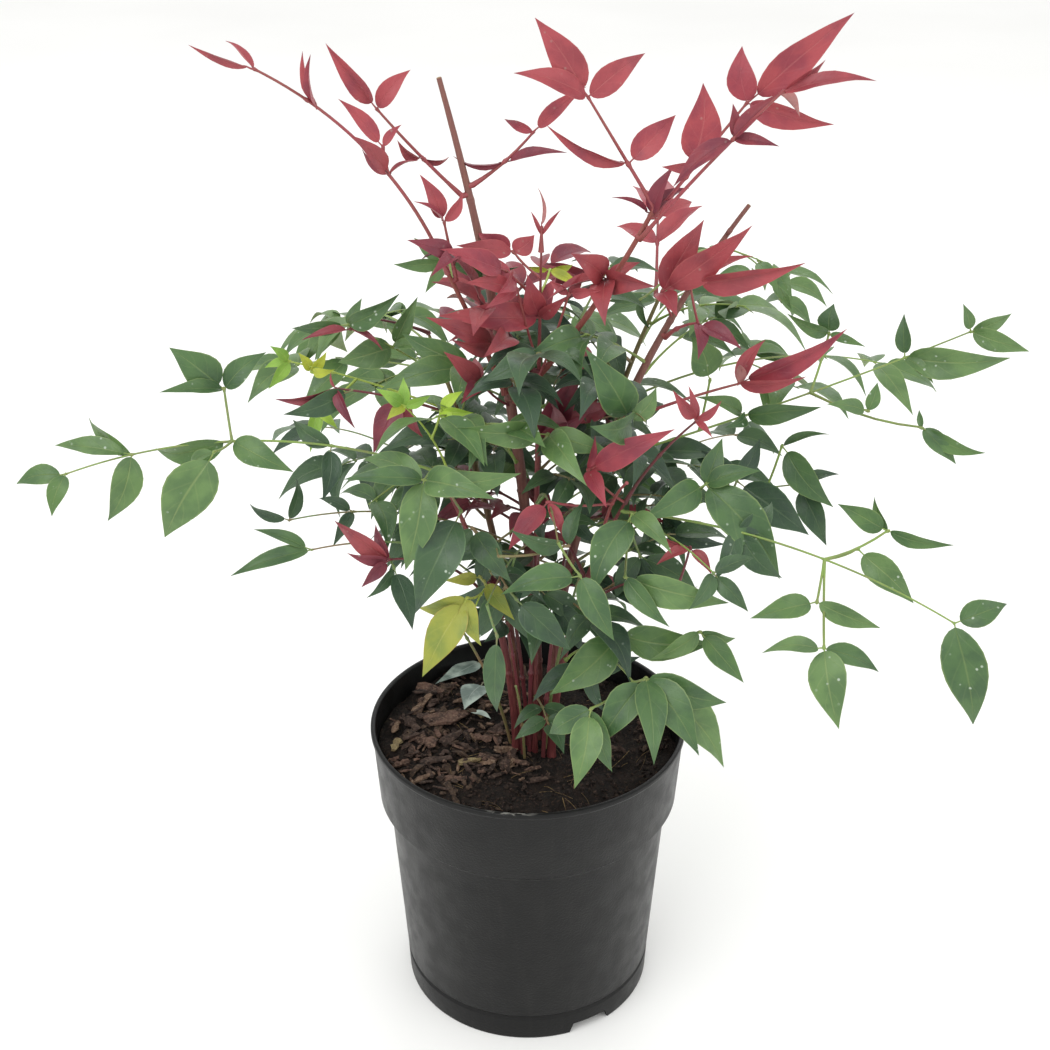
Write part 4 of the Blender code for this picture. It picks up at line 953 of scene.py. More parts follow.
# blade power (finer base and tip), taper of the tip, arch, rise of the halves, fall of the tip
bladeStyles = {
    "green": (0.85, 0.54, 0.085, 0.060, 0.13), "deep": (0.85, 0.54, 0.095, 0.060, 0.15),
    "lime": (0.88, 0.50, 0.070, 0.050, 0.10), "gold": (0.84, 0.50, 0.080, 0.055, 0.12),
    "old": (0.90, 0.42, 0.030, 0.030, 0.05),
    "red": (0.88, 0.48, 0.050, 0.070, 0.08), "wine": (0.88, 0.48, 0.065, 0.080, 0.10),
}


def bladeFaces(rows):
    # upper side in four strips, underside in two, closed at base, tip and edges
    top, under = [], []
    at = [2 + 6 * j for j in range(rows)]
    for c in range(4):
        top.append((0, at[0] + c + 1, at[0] + c))
        for low, high in zip(at, at[1:]):
            top.append((low + c, low + c + 1, high + c + 1, high + c))
        top.append((at[-1] + c, at[-1] + c + 1, 1))
    for first, second in ((0, 5), (5, 4)):
        under.append((0, at[0] + first, at[0] + second))
        for low, high in zip(at, at[1:]):
            under.append((low + first, high + first, high + second, low + second))
        under.append((at[-1] + first, 1, at[-1] + second))
    return top, under


def unitBlade(name, style, rng):
    # lies along +Y from its base at the origin, with its upper side to +Z
    shape = bladeShape
    power, taper, arch, rise, fall = bladeStyles[style]
    sickle = shape["sickle"] * rng.uniform(-1, 1)
    twist = math.radians(shape["twist"]) * rng.uniform(-1, 1)
    phase = rng.uniform(*shape["rippleStart"])
    ripple = shape["ripple"] * rng.uniform(*shape["rippleSpread"])
    arch *= rng.uniform(*shape["archSpread"])
    rise *= rng.uniform(*shape["riseSpread"])
    fall *= rng.uniform(*shape["fallSpread"])
    outward, inward = shape["shoulder"]

    def middle(t):       # the tip falls from half way on
        height = arch * math.sin(math.pi * t ** shape["archPower"]) - fall * max(0.0, t - 0.5) ** 2 * 4
        return Vector((sickle * math.sin(math.pi * t), t, height))

    points, along, uvs = [middle(0.0), middle(1.0)], [0.0, 1.0], [(0.5, 0.0), (0.5, 1.0)]
    for t in shape["stations"]:
        half = math.sin(math.pi * t ** shape["widestPower"]) ** power * (1 - taper * t ** 3)
        turn = twist * (t - shape["twistFrom"])
        centre = middle(t)
        for s in shape["columns"]:
            lift = rise * half * (outward * abs(s) - inward * s * s)
            lift += ripple * half * abs(s) * math.sin(shape["ripples"] * t + phase + s)
            reach = half * s * 0.5
            points.append(centre + Vector((reach * math.cos(turn), 0, reach * math.sin(turn) * 0.5 + lift)))
            uvs.append(((s + 1) / 2, t))
            along.append(t)
        points.append(centre - Vector((0, 0, shape["thick"])))
        uvs.append((0.5, t))
        along.append(t)
    top, under = bladeFaces(len(shape["stations"]))
    mesh = meshOf(name, points, top + under)
    giveValues(mesh, "along", "FLOAT", along)
    giveValues(mesh, "under", "INT", [0] * len(top) + [1] * len(under), "FACE")
    uv = mesh.uv_layers.new(name="blade")
    uv.data.foreach_set("uv", [c for loop in mesh.loops for c in uvs[loop.vertex_index]])
    smoothShade(mesh, 70)
    return mesh


def placedTree(name, materials):
    # one of the shapes on every point, turned and sized as that says, made real, waved and dressed
    tree, inputs = newTree(name, Shapes="Collection", Wave="Float", WaveSize="Float")
    kind, turn, size, along, tint, under = [
        addNode(tree, "GeometryNodeInputNamedAttribute", {"Name": label}, data_type=holds)
        for label, holds in (("kind", "INT"), ("turn", "FLOAT_VECTOR"), ("size", "FLOAT_VECTOR"),
                             ("along", "FLOAT"), ("tint", "INT"), ("under", "INT"))]
    turn = addNode(tree, "FunctionNodeEulerToRotation", {0: turn})
    blades = addNode(tree, "GeometryNodeCollectionInfo",
                     {"Collection": inputs["Shapes"], "Separate Children": True, "Reset Children": True})
    placed = addNode(tree, "GeometryNodeInstanceOnPoints",
                     {"Points": inputs["Geometry"], "Instance": blades, "Pick Instance": True,
                      "Instance Index": kind, "Rotation": turn, "Scale": size})
    grown = addNode(tree, "GeometryNodeRealizeInstances", {"Geometry": placed})
    rate = addNode(tree, "ShaderNodeMath", {0: 1.0, 1: inputs["WaveSize"]}, operation="DIVIDE")
    stray = addNode(tree, "ShaderNodeTexNoise", {"Scale": rate, "Detail": 1.0}, out=1)
    stray = addNode(tree, "ShaderNodeVectorMath", {0: stray, 1: (0.5, 0.5, 0.5)}, operation="SUBTRACT")
    reach = addNode(tree, "ShaderNodeMath", {0: along, 1: inputs["Wave"]}, operation="MULTIPLY")
    stray = addNode(tree, "ShaderNodeVectorMath", {0: stray, "Scale": reach}, operation="SCALE")
    shape = addNode(tree, "GeometryNodeSetPosition", {"Geometry": grown, "Offset": stray})
    which = addNode(tree, "ShaderNodeMath", {0: tint, 1: 2.0, 2: under}, operation="MULTIPLY_ADD")
    for k, material in enumerate(materials):
        here = addNode(tree, "FunctionNodeCompare", {2: which, 3: k}, data_type="INT", operation="EQUAL")
        shape = addNode(tree, "GeometryNodeSetMaterial", {"Geometry": shape, "Selection": here,
                                                          "Material": material})
    addNode(tree, "NodeGroupOutput", {"Geometry": shape})
    return tree


# how far a planned leaflet strays from its place, in degrees about its three axes, and widths for a length
leafLoose = {
    "yaw": 9.0, "nod": 12.0, "roll": 20.0, "hangLess": 0.55,
    "shorter": {"green_back_right": 0.72}, "narrower": {"red_bud": 0.45},
    "widths": {"green": 0.43, "deep": 0.42, "lime": 0.42, "red": 0.34, "wine": 0.34},
    "widthSpread": (0.88, 1.10), "laidWidth": 0.87,
    "keepsTint": 0.7,            # share of the leaflets that are sure to have the tint of their spray
    "onEnd": -0.35,              # a laid blade that faces down by more is turned upper side up
}
leaflets = {style: [] for style in leafTints}       # base, turn, size, which blade, which tint
stalkPaths = {style: [] for style in leafTints}     # every path a list of (point, girth)
stalkLook = {
    "slim": {"red": 0.90, "wine": 0.82},      # of the solids' twig radius
    "slimElse": 0.62,
    "sheath": 1.5, "sheathLength": 0.010, "clasp": 1.1,
    "knotReach": 0.0022, "knotShape": ((-1.0, 1.0), (-0.4, 1.35), (0.0, 1.6), (0.4, 1.35), (1.0, 1.0)),
    "leafStalk": 0.00036, "leafGirths": (1.7, 1.1, 0.9, 0.3), "leafSpread": (0.9, 1.2), "leafDip": 0.0005,
    "seat": 0.0008, "pastBase": 0.0006, "intoRib": 0.07,
    "sprayStalk": 0.00062, "spraySag": 0.05, "sprayKnot": (0.002, 0.0012),
    "sides": 7, "step": 0.006,
}
carriers = dict(limbs)
carriers.update({frond.name: frond.twigs[0] for frond in plants})


def layLeaflet(style, rng, tint, root, ahead, across, length, width, side):
    # a leaflet and the short stalk that it sits on
    stalk = bladeShape["sideStalk"] if side else bladeShape["endStalk"]
    base = root + ahead * (stalk * length)
    run = length * (1 - stalk)
    kind = rng.randrange(bladeShape["kinds"])
    turn = Matrix((across, ahead, across.cross(ahead))).transposed().to_euler()
    if rng.random() > leafLoose["keepsTint"]:
        tint = rng.randrange(len(leafTints[style]))
    leaflets[style].append((base, tuple(turn), (width * length, run, run), kind, tint))
    look = stalkLook
    thin = look["leafStalk"] * rng.uniform(*look["leafSpread"])
    dip = across.cross(ahead) * rng.uniform(0.0, look["leafDip"])
    path = [root - ahead * look["seat"], root.lerp(base, 0.5) + dip, base + ahead * look["pastBase"],
            base + ahead * (look["intoRib"] * length)]
    stalkPaths[style].append([(point, thin * girth) for point, girth in zip(path, look["leafGirths"])])


def plannedLeaflets():
    for frond in [*plants, *finer]:
        if frond.name in handLaid:
            continue
        rng = random.Random("blades of " + frond.name)
        style = frond.styleName
        tint = rng.randrange(len(leafTints[style]))
        for side, root, heading, climb, roll, length in frond.poses:
            if climb < 0:
                climb *= leafLoose["hangLess"]
            ahead = direction(heading + rng.uniform(-1, 1) * leafLoose["yaw"],
                              climb + rng.uniform(-1, 1) * leafLoose["nod"])
            roll += rng.uniform(-1, 1) * leafLoose["roll"]
            level = Vector((ahead.y, -ahead.x, 0)).normalized()
            across = Matrix.Rotation(math.radians(roll), 3, ahead) @ level
            width = leafLoose["widths"][style] * rng.uniform(*leafLoose["widthSpread"])
            width *= leafLoose["narrower"].get(frond.name, 1.0)
            length *= leafLoose["shorter"].get(frond.name, 1.0)
            layLeaflet(style, rng, tint, root, ahead, across, length, width, side)


def sprayLeaflets():
    # as the picture shows them: each from its node to its tip, its face turned from the eye by so much
    eye = Vector(stageLook["eye"])
    for name, style, carrier, share, node, tips in sprays:
        rng = random.Random("spray " + name)
        stem = carriers[carrier]
        foot = stem.point(min(share, 1.0))
        root = foot
        if node:
            root = seenAt(node[0], node[1], node[2] / 1000)
            thick, run = stalkLook["sprayStalk"], root - foot
            sag = Vector((0, 0, -stalkLook["spraySag"] * run.length))
            before, after = [reach / run.length for reach in stalkLook["sprayKnot"]]
            middle = [foot.lerp(root, t) + sag * math.sin(math.pi * t) for t in (0.2, 0.4, 0.6, 0.8)]
            stalkPaths[style].append([(foot, thick * 1.5), *[(p, thick * 1.1) for p in middle],
                                      (root - run * before, thick), (root, thick * 1.7),
                                      (root + run * after, thick * 0.9)])
        tint = rng.randrange(len(leafTints[style]))
        for k, (u, v, depth, width, edgeOn) in enumerate(tips):
            tip = seenAt(u, v, depth / 1000)
            ahead = (tip - root).normalized()
            toEye = (eye - root.lerp(tip, 0.5)).normalized()
            across = ahead.cross(toEye).normalized()
            if across.cross(ahead).z < leafLoose["onEnd"]:
                across = -across
            across = Matrix.Rotation(math.radians(edgeOn) * rng.choice((-1, 1)), 3, ahead) @ across
            width = width / 100 * leafLoose["laidWidth"]
            layLeaflet(style, rng, tint, root, ahead, across, (tip - root).length, width, k)


def placedPiece(name, rows, shapes, materials, wave=0.0):
    # rows of place, turn, size, which shape and which tint, grown into one mesh
    mesh = meshOf(name, [row[0] for row in rows], [])
    for label, place in (("turn", 1), ("size", 2)):
        giveValues(mesh, label, "FLOAT_VECTOR", [c for row in rows for c in row[place]])
    for label, place in (("kind", 3), ("tint", 4)):
        giveValues(mesh, label, "INT", [row[place] for row in rows])
    tree = placedTree(name.replace("_", " "), materials)
    return growFromShapes(objectOf(name, mesh), tree, "Shapes", shapes, Wave=wave,
                          WaveSize=bladeShape["waveSize"])


def fallenLeaflets():
    rng = random.Random("fallen")
    for u, v, tipU, tipV, rise, width in fallen:
        root, tip = seenAt(u, v, z=compostTop + rise), seenAt(tipU, tipV, z=compostTop + rise + 0.002)
        ahead = (tip - root).normalized()
        across = Vector((ahead.y, -ahead.x, 0)).normalized()
        across = Matrix.Rotation(math.radians(rng.uniform(-14, 14)), 3, ahead) @ across
        layLeaflet("old", rng, 0, root, ahead, across, (tip - root).length, width, 0)


def leafPieces():
    rng = random.Random(bladeShape["seed"])
    for style, rows in leaflets.items():
        shapes = [unitBlade(f"{style}Blade{k}", style, rng) for k in range(bladeShape["kinds"])]
        materials = []
        for k, tint in enumerate(leafTints[style]):
            materials += [leafMaterial(f"{style} leaflet {k + 1}", tint, **leafLooks[style]),
                          undersideMaterial(f"{style} underside {k + 1}", tint)]
        thing = placedPiece(f"leaves_{style}", rows, shapes, materials, bladeShape["wave"])
        replaced = [frond.name for frond in plants if frond.styleName == style]
        addPiece(thing.name, thing, slotOf.get(style, f"leaf_{style}"), *replaced)
        print(f"leaves: {style}, {len(rows)} leaflets, {len(thing.data.polygons)} faces, "
              f"{len(thing.data.materials)} materials, uv {[layer.name for layer in thing.data.uv_layers]}")


plannedLeaflets()
sprayLeaflets()
fallenLeaflets()
leafPieces()


# twigs: stems, arms and leaflet stalks as round tubes with knots at every joint
stalkTints = {
    "green": ("#7E9A4A", "#74864A", "#92855A"), "deep": ("#67824A", "#7C6A4A", "#8E6650"),
    "old": ("#7C7A60", "#6A6450", "#8A8670"),
    "lime": ("#9DB448", "#90A644", "#AEB764"), "gold": ("#96A044", "#8A8C42", "#A09A5A"),
    "red": ("#96424A", "#8A4844", "#78383A"), "wine": ("#6A2C33", "#603032", "#583230"),
}


def stemPath(stem, thick, carrier=None):
    # close points along the arc, with a knot at each joint and at the tip
    look, length = stalkLook, stem.length
    count = max(4, round(length / look["step"]))
    shares = {i / count: 1.0 for i in range(count + 1)}
    for joint in [*stem.joints, 1.0]:
        for offset, swell in look["knotShape"]:
            share = joint + offset * look["knotReach"] / length
            if share <= 1.0:
                shares[share] = swell
    wide, narrow = stem.radii
    path = []
    for share in sorted(shares):
        girth = (wide + (narrow - wide) * share) * thick * shares[share]
        if carrier:
            girth *= 1 + (look["sheath"] - 1) * max(0.0, 1 - share * length / look["sheathLength"])
        path.append((stem.point(share), girth))
    if carrier:       # clasps the cane that it leaves
        path.insert(0, (carrier, path[0][1] * look["clasp"]))
    return path


def tubesAlong(tree, inputs):
    # paths with a girth at every point, turned into round tubes
    curve = addNode(tree, "GeometryNodeMeshToCurve", {"Mesh": inputs["Geometry"]})
    ring = addNode(tree, "GeometryNodeCurvePrimitiveCircle", {"Resolution": inputs["Sides"], "Radius": 1.0})
    girth = addNode(tree, "GeometryNodeInputNamedAttribute", {"Name": "girth"}, data_type="FLOAT")
    return addNode(tree, "GeometryNodeCurveToMesh",
                   {"Curve": curve, "Profile Curve": ring, "Scale": girth, "Fill Caps": True})


def stalkTree():
    tree, inputs = newTree("stalk tubes", Sides="Int", Material="Material")
    soft = addNode(tree, "GeometryNodeSetShadeSmooth", {"Geometry": tubesAlong(tree, inputs)})
    return closeTree(tree, soft, inputs["Material"])


def pathObject(name, paths):
    # one mesh of loose paths
    edges, start = [], 0
    for path in paths:
        edges += [(start + i, start + i + 1) for i in range(len(path) - 1)]
        start += len(path)
    mesh = meshOf(name, [point for path in paths for point, _ in path], [], edges=edges)
    giveValues(mesh, "girth", "FLOAT", [girth for path in paths for _, girth in path])
    return objectOf(name, mesh)


def stalkMaterial(name, main, second, joint):
    # a smooth young stalk, satin, that changes tint along its length
    return patchyFinish(name, 0.42, 0.45, main,
                        [(second, dict(size=0.030, low=0.35, high=0.65)),
                         (joint, dict(size=0.002, low=0.45, high=0.75, most=0.5))],
                        dict(size=0.0011, low=0.3, high=0.7), depth=0.0002, strength=0.5)


# thin young shoots among the feet of the canes: style, foot, heading, climb, lean, length, girth
youngShoots = [
    ("wine", -0.003, -0.012, 250, 84, 14, 0.105, 0.0012), ("wine", 0.009, -0.016, 290, 86, 10, 0.120, 0.0014),
    ("wine", 0.000, -0.004, 190, 88, 8, 0.130, 0.0015), ("deep", -0.010, -0.002, 200, 80, 20, 0.110, 0.0011),
    ("deep", 0.010, -0.008, 330, 86, 12, 0.140, 0.0012), ("wine", 0.010, 0.004, 30, 88, 8, 0.130, 0.0014),
    ("deep", -0.002, -0.016, 262, 78, 26, 0.085, 0.0009), ("wine", 0.001, -0.011, 300, 90, 6, 0.150, 0.0015),
]


def leafStalks():
    tree = stalkTree()
    for style, x, y, heading, climb, lean, length, girth in youngShoots:
        shoot = Stem((x, y, compostTop - 0.003), heading, climb, lean, length, (girth, girth * 0.6),
                     joints=(0.4, 0.8))
        stalkPaths[style].append(stemPath(shoot, 1.0))
    for frond in [*plants, *finer]:
        thick = stalkLook["slim"].get(frond.styleName, stalkLook["slimElse"])
        for k, twig in enumerate(frond.twigs):
            if k and frond.name in handLaid:
                break
            clasp = frond.limb.betweenRings(min(frond.share, 1.0))[0] if k == 0 else None
            stalkPaths[frond.styleName].append(stemPath(twig, thick, clasp))
    for style, paths in stalkPaths.items():
        thing = growByNodes(pathObject(f"stalks_{style}", paths), tree, Sides=stalkLook["sides"],
                            Material=stalkMaterial(f"{style} stalk", *stalkTints[style]))
        addPiece(thing.name, thing, slotOf.get(style, f"leaf_{style}"))
        print(f"twigs: {style}, {len(paths)} tubes, {len(thing.data.polygons)} faces")


leafStalks()


# canes and boughs: round, with scarred joints, fibres and clean cut ends, finer above than the solids
caneLook = {
    "sides": 20, "step": 0.003, "ridge": 0.00026, "fibre": 0.0011, "stretch": 0.10, "seed": 4.0,
    "scarRise": 0.16, "scarReach": 0.0045,
    "scarShape": ((-1.0, 0.0), (-0.45, 0.35), (-0.10, 0.9), (0.06, 1.0), (0.14, 0.35), (0.5, 0.0)),
    "slimTip": 0.56, "slimFrom": 0.65, "flare": 0.22, "flareHeight": 0.010, "sink": 0.003, "seat": 1.35,
    "cutEnds": ("cane_tall", "cane_right"),
    "cutShape": ((0.93, -0.0003), (0.90, 0.00025), (0.45, 0.00035), (0.32, 0.0001)),
}


def caneTree():
    # paths to tubes, then the bark's long fibres pushed out along the normal
    tree, inputs = newTree("cane bark", Sides="Int", Ridge="Float", Fibre="Float", Stretch="Float",
                           Seed="Float", Material="Material")
    tube = tubesAlong(tree, inputs)
    place = addNode(tree, "GeometryNodeInputPosition")
    squeeze = addNode(tree, "ShaderNodeCombineXYZ", {"X": 1.0, "Y": 1.0, "Z": inputs["Stretch"]})
    along = addNode(tree, "ShaderNodeVectorMath", {0: place, 1: squeeze}, operation="MULTIPLY")
    rate = addNode(tree, "ShaderNodeMath", {0: 1.0, 1: inputs["Fibre"]}, operation="DIVIDE")
    fibres = addNode(tree, "ShaderNodeTexNoise", {"Vector": along, "W": inputs["Seed"], "Scale": rate,
                                                  "Detail": 3.0}, noise_dimensions="4D")
    centred = addNode(tree, "ShaderNodeMath", {0: fibres, 1: 0.5}, operation="SUBTRACT")
    depth = addNode(tree, "ShaderNodeMath", {0: centred, 1: inputs["Ridge"]}, operation="MULTIPLY")
    normal = addNode(tree, "GeometryNodeInputNormal")
    push = addNode(tree, "ShaderNodeVectorMath", {0: normal, "Scale": depth}, operation="SCALE")
    moved = addNode(tree, "GeometryNodeSetPosition", {"Geometry": tube, "Offset": push})
    soft = addNode(tree, "GeometryNodeSetShadeSmooth", {"Geometry": moved})
    return closeTree(tree, soft, inputs["Material"])


def canePath(limb):
    # a raised scar at each joint, sharper above than below, and a flare at the compost
    look, length = caneLook, limb.length
    count = round(length / look["step"])
    shares = {i / count: 0.0 for i in range(count + 1)}
    for joint in limb.joints:
        for offset, rise in look["scarShape"]:
            shares[joint + offset * look["scarReach"] / length] = rise
    wide, narrow = limb.radii
    path = []
    for share in sorted(shares):
        girth = (wide + (narrow - wide) * share) * (1 + look["scarRise"] * shares[share])
        if limb.stands:
            upper = max(0.0, (share - look["slimFrom"]) / (1 - look["slimFrom"]))
            girth *= 1 - (1 - look["slimTip"]) * upper
            girth *= 1 + look["flare"] * max(0.0, 1 - share * length / look["flareHeight"]) ** 2
        path.append((limb.point(share), girth))
    if limb.stands:       # its foot is in the compost
        path.insert(0, (limb.foot - Vector((0, 0, look["sink"])), path[0][1]))
    else:                 # its foot is in the cane that carries it
        path.insert(0, (limb.foot - limb.axis(0.0) * look["sink"], path[0][1] * look["seat"]))
    return path


def caneMaterial(name, foot, top, fleck, low=0.26, high=0.42, stray=0.05):
    # smooth woody cane: red near the foot, browner or olive higher up, with pale cork flecks
    material, tree, surface, at = newFinish(name, 0.5, 0.4)
    height = addNode(tree, "ShaderNodeSeparateXYZ", {0: at}, out=2)
    drift = mottle(tree, at, 0.02, low=0.2, high=0.8, most=2 * stray)
    wander = addNode(tree, "ShaderNodeMath", {0: drift, 1: height}, operation="ADD")
    tone = addNode(tree, "ShaderNodeMapRange", {0: wander, 1: low + stray, 2: high + stray})
    drawn = addNode(tree, "ShaderNodeMapping", {"Vector": at, "Scale": (1, 1, 0.12)})
    flecks = mottle(tree, drawn, 0.0014, low=0.42, high=0.70, most=0.5)
    fibres = mottle(tree, drawn, 0.0008, low=0.3, high=0.7)
    dress(tree, surface, foot, [(tone, top), (flecks, fleck)], fibres, depth=0.0003, strength=0.6)
    return material


caneKinds = {
    "canes_woody": (["cane_tall", "cane_right"], ("#5A2C29", "#7A4F48", "#8C6455")),
    "canes_olive": (["cane_back_right", "cane_back_left", "cane_back"], ("#5E2C29", "#6C663C", "#84704E")),
    "canes_red": (["cane_centre", "cane_front_left", "cane_front_right"], ("#5E2A2B", "#7C363A", "#8C4F4A")),
    "boughs_red": (["bough_right", "bough_left"], ("#7A363C", "#84463F", "#94584E")),
}


def woodyLimbs():
    tree = caneTree()
    look = caneLook
    for name, (members, tints) in caneKinds.items():
        paths = [canePath(limbs[member]) for member in members]
        thing = growByNodes(pathObject(name, paths), tree, Sides=look["sides"], Ridge=look["ridge"],
                            Fibre=look["fibre"], Stretch=look["stretch"], Seed=look["seed"],
                            Material=caneMaterial(name.replace("_", " "), *tints))
        addPiece(name, thing, "cane", *members)
        print(f"canes: {name}, {len(thing.data.polygons)} faces")


def cutEnds():
    # the two clean cuts: a ring of bark, pale wood and a darker pith
    material = patchyFinish("cut cane wood", 0.7, 0.5, "#A98A66",
                            [("#7A5A42", dict(size=0.0008, low=0.3, high=0.7))],
                            dict(size=0.0006, low=0.3, high=0.7), depth=0.0002, strength=0.8)
    points, faces, sides, rings = [], [], caneLook["sides"], len(caneLook["cutShape"])
    for name in caneLook["cutEnds"]:
        limb = limbs[name]
        tip, axis, radius = limb.point(1.0), limb.axis(1.0), limb.radii[1] * caneLook["slimTip"]
        side = axis.orthogonal().normalized()
        other = axis.cross(side)
        start = len(points)
        for share, rise in caneLook["cutShape"]:
            points += [tip + (side * c + other * s) * radius * share + axis * rise for c, s in spokes(sides)]
        faces += ringFaces(rings, sides, start)
        faces.append(tuple(range(len(points) - sides, len(points))))
        faces.append(tuple(reversed(range(start, start + sides))))
    mesh = meshOf("cane_cuts", points, faces, [material])
    smoothShade(mesh, 30)
    addPiece(mesh.name, mesh, "cane")


woodyLimbs()
cutEnds()


# pot: moulded black plastic with a rolled lip, a deep collar and a grooved foot
# the pale streaks on the front of the lip are scuffs and a painted highlight: where they lie and how strongly
# they show
potFinish = {"segments": 160, "lip": 0.0016, "soft": 0.0007, "groove": 0.0009, "grooveZ": 0.0172,
             "scuffAndHighlightAt": (-0.010, -0.094, 0.1845), "scuffAndHighlightReach": 0.018, "scuffAndHighlightShare": 0.8,
             "scuffAndHighlightFrom": 0.1842, "scuffAndHighlightTo": 0.1850}


def roundCorners(profile, reach):
    # cuts every corner of a (radius, z) outline back by reach and rounds it with three points
    rounded = [profile[0]]
    for before, corner, after in zip(profile, profile[1:], profile[2:]):
        size = min(reach, math.dist(before, corner) * 0.35, math.dist(after, corner) * 0.35)
        start = [c + (b - c) * size / math.dist(before, corner) for b, c in zip(before, corner)]
        end = [c + (a - c) * size / math.dist(after, corner) for a, c in zip(after, corner)]
        middle = [(s + e) / 4 + c / 2 for s, e, c in zip(start, end, corner)]
        rounded += [tuple(start), tuple(middle), tuple(end)]
    return rounded + [profile[-1]]


def turned(name, profile, sides, materials):
    # a closed solid turned from (radius, z) points that start and end on the axis
    points = [(0.0, 0.0, profile[0][1])]
    for radius, z in profile[1:-1]:
        points += [(radius * c, radius * s, z) for c, s in spokes(sides)]
    points.append((0.0, 0.0, profile[-1][1]))
    faces = [(0, 1 + (k + 1) % sides, 1 + k) for k in range(sides)]
    faces += ringFaces(len(profile) - 2, sides, 1)
    top = len(points) - 1 - sides
    faces += [(top + k, top + (k + 1) % sides, len(points) - 1) for k in range(sides)]
    return meshOf(name, points, faces, materials)


def potMaterial():
    # black polypropylene, moulded: satin sheen, a little dusty, scuffed pale where the front lip is rubbed,
    # with a painted highlight laid in the same pale streaks there
    material, tree, surface, at = newFinish("moulded black polypropylene", 0.4, 0.22)
    upright = addNode(tree, "ShaderNodeMapping", {"Vector": at, "Scale": (1, 1, 0.05)})
    away = addNode(tree, "ShaderNodeVectorMath", {0: at, 1: potFinish["scuffAndHighlightAt"]}, out=1,
                   operation="DISTANCE")
    near = addNode(tree, "ShaderNodeMapRange", {0: away, 1: 0.0, 2: potFinish["scuffAndHighlightReach"],
                                                3: potFinish["scuffAndHighlightShare"], 4: 0.0})
    height = addNode(tree, "ShaderNodeSeparateXYZ", {0: at}, out=2)
    lip = addNode(tree, "ShaderNodeMapRange", {0: height, 1: potFinish["scuffAndHighlightFrom"],
                                               2: potFinish["scuffAndHighlightTo"]})
    flat = addNode(tree, "ShaderNodeMapping", {"Vector": at, "Scale": (0.3, 1, 1)})
    # pale streaks on the top of the front lip: scuffs and a painted highlight
    scuffAndHighlightStreaks = mottle(tree, flat, 0.0014, low=0.50, high=0.60)
    scuffAndHighlight = addNode(tree, "ShaderNodeMath", {0: scuffAndHighlightStreaks, 1: near}, operation="MULTIPLY")
    scuffAndHighlight = addNode(tree, "ShaderNodeMath", {0: scuffAndHighlight, 1: lip}, operation="MULTIPLY")
    dust = mottle(tree, at, 0.035, low=0.40, high=0.75, most=0.5, detail=5.0)
    streaks = mottle(tree, upright, 0.004, low=0.5, high=0.8, most=0.3, detail=4.0)
    gloss = mottle(tree, at, 0.012, low=0.3, high=0.7, most=0.12, detail=5.0)
    gloss = addNode(tree, "ShaderNodeMath", {0: gloss, 1: 0.33}, operation="ADD")
    grain = mottle(tree, at, 0.0012, low=0.3, high=0.7)
    # the pale #96958F is the colour of the lip's scuffs and its painted highlight
    dress(tree, surface, "#111111", [(dust, "#181817"), (streaks, "#22211F"), (scuffAndHighlight, "#96958F")],
          grain, depth=0.00012, strength=0.5, gloss=gloss)
    return material


def potNotches():
    # the openings in the foot, with slanting sides, and the round drain holes
    p = potSizes
    tool = bmesh.new()
    for i in range(p["notches"]):
        turn = Matrix.Rotation(math.radians(p["notchHeading"] + 360 / p["notches"] * i), 4, "Z")
        inner, outer = p["footRadius"] - 2 * p["footRing"], p["rimRadius"]
        corners = []
        for x in (inner, outer):
            for y, z in ((-1, -p["channel"]), (1, -p["channel"]), (1, p["channel"] - gap),
                         (-1, p["channel"] - gap)):
                half = p["notchWidth"] / 2 + (p["notchSlope"] / 2 if z < 0 else -p["notchSlope"] / 2)
                corners.append(tool.verts.new(turn @ Vector((x, y * half, z))))
        for face in ((3, 2, 1, 0), (4, 5, 6, 7), (0, 1, 5, 4), (1, 2, 6, 5), (2, 3, 7, 6), (3, 0, 4, 7)):
            tool.faces.new([corners[k] for k in face])
    for i in range(p["drainHoles"]):
        turn = Matrix.Rotation(math.radians(p["notchHeading"] + 30 + 360 / p["drainHoles"] * i), 4, "Z")
        radius = (p["middle"] + p["channelSlope"] + p["footRadius"]) / 2
        place = Matrix.Translation((radius, 0, p["channel"] + p["floor"] / 2))
        bmesh.ops.create_cone(tool, cap_ends=True, segments=20, radius1=p["drainRadius"],
                              radius2=p["drainRadius"], depth=3 * p["floor"], matrix=turn @ place)
    bmesh.ops.recalc_face_normals(tool, faces=tool.faces)
    mesh = bpy.data.meshes.new("notches")
    tool.to_mesh(mesh)
    tool.free()
    return mesh


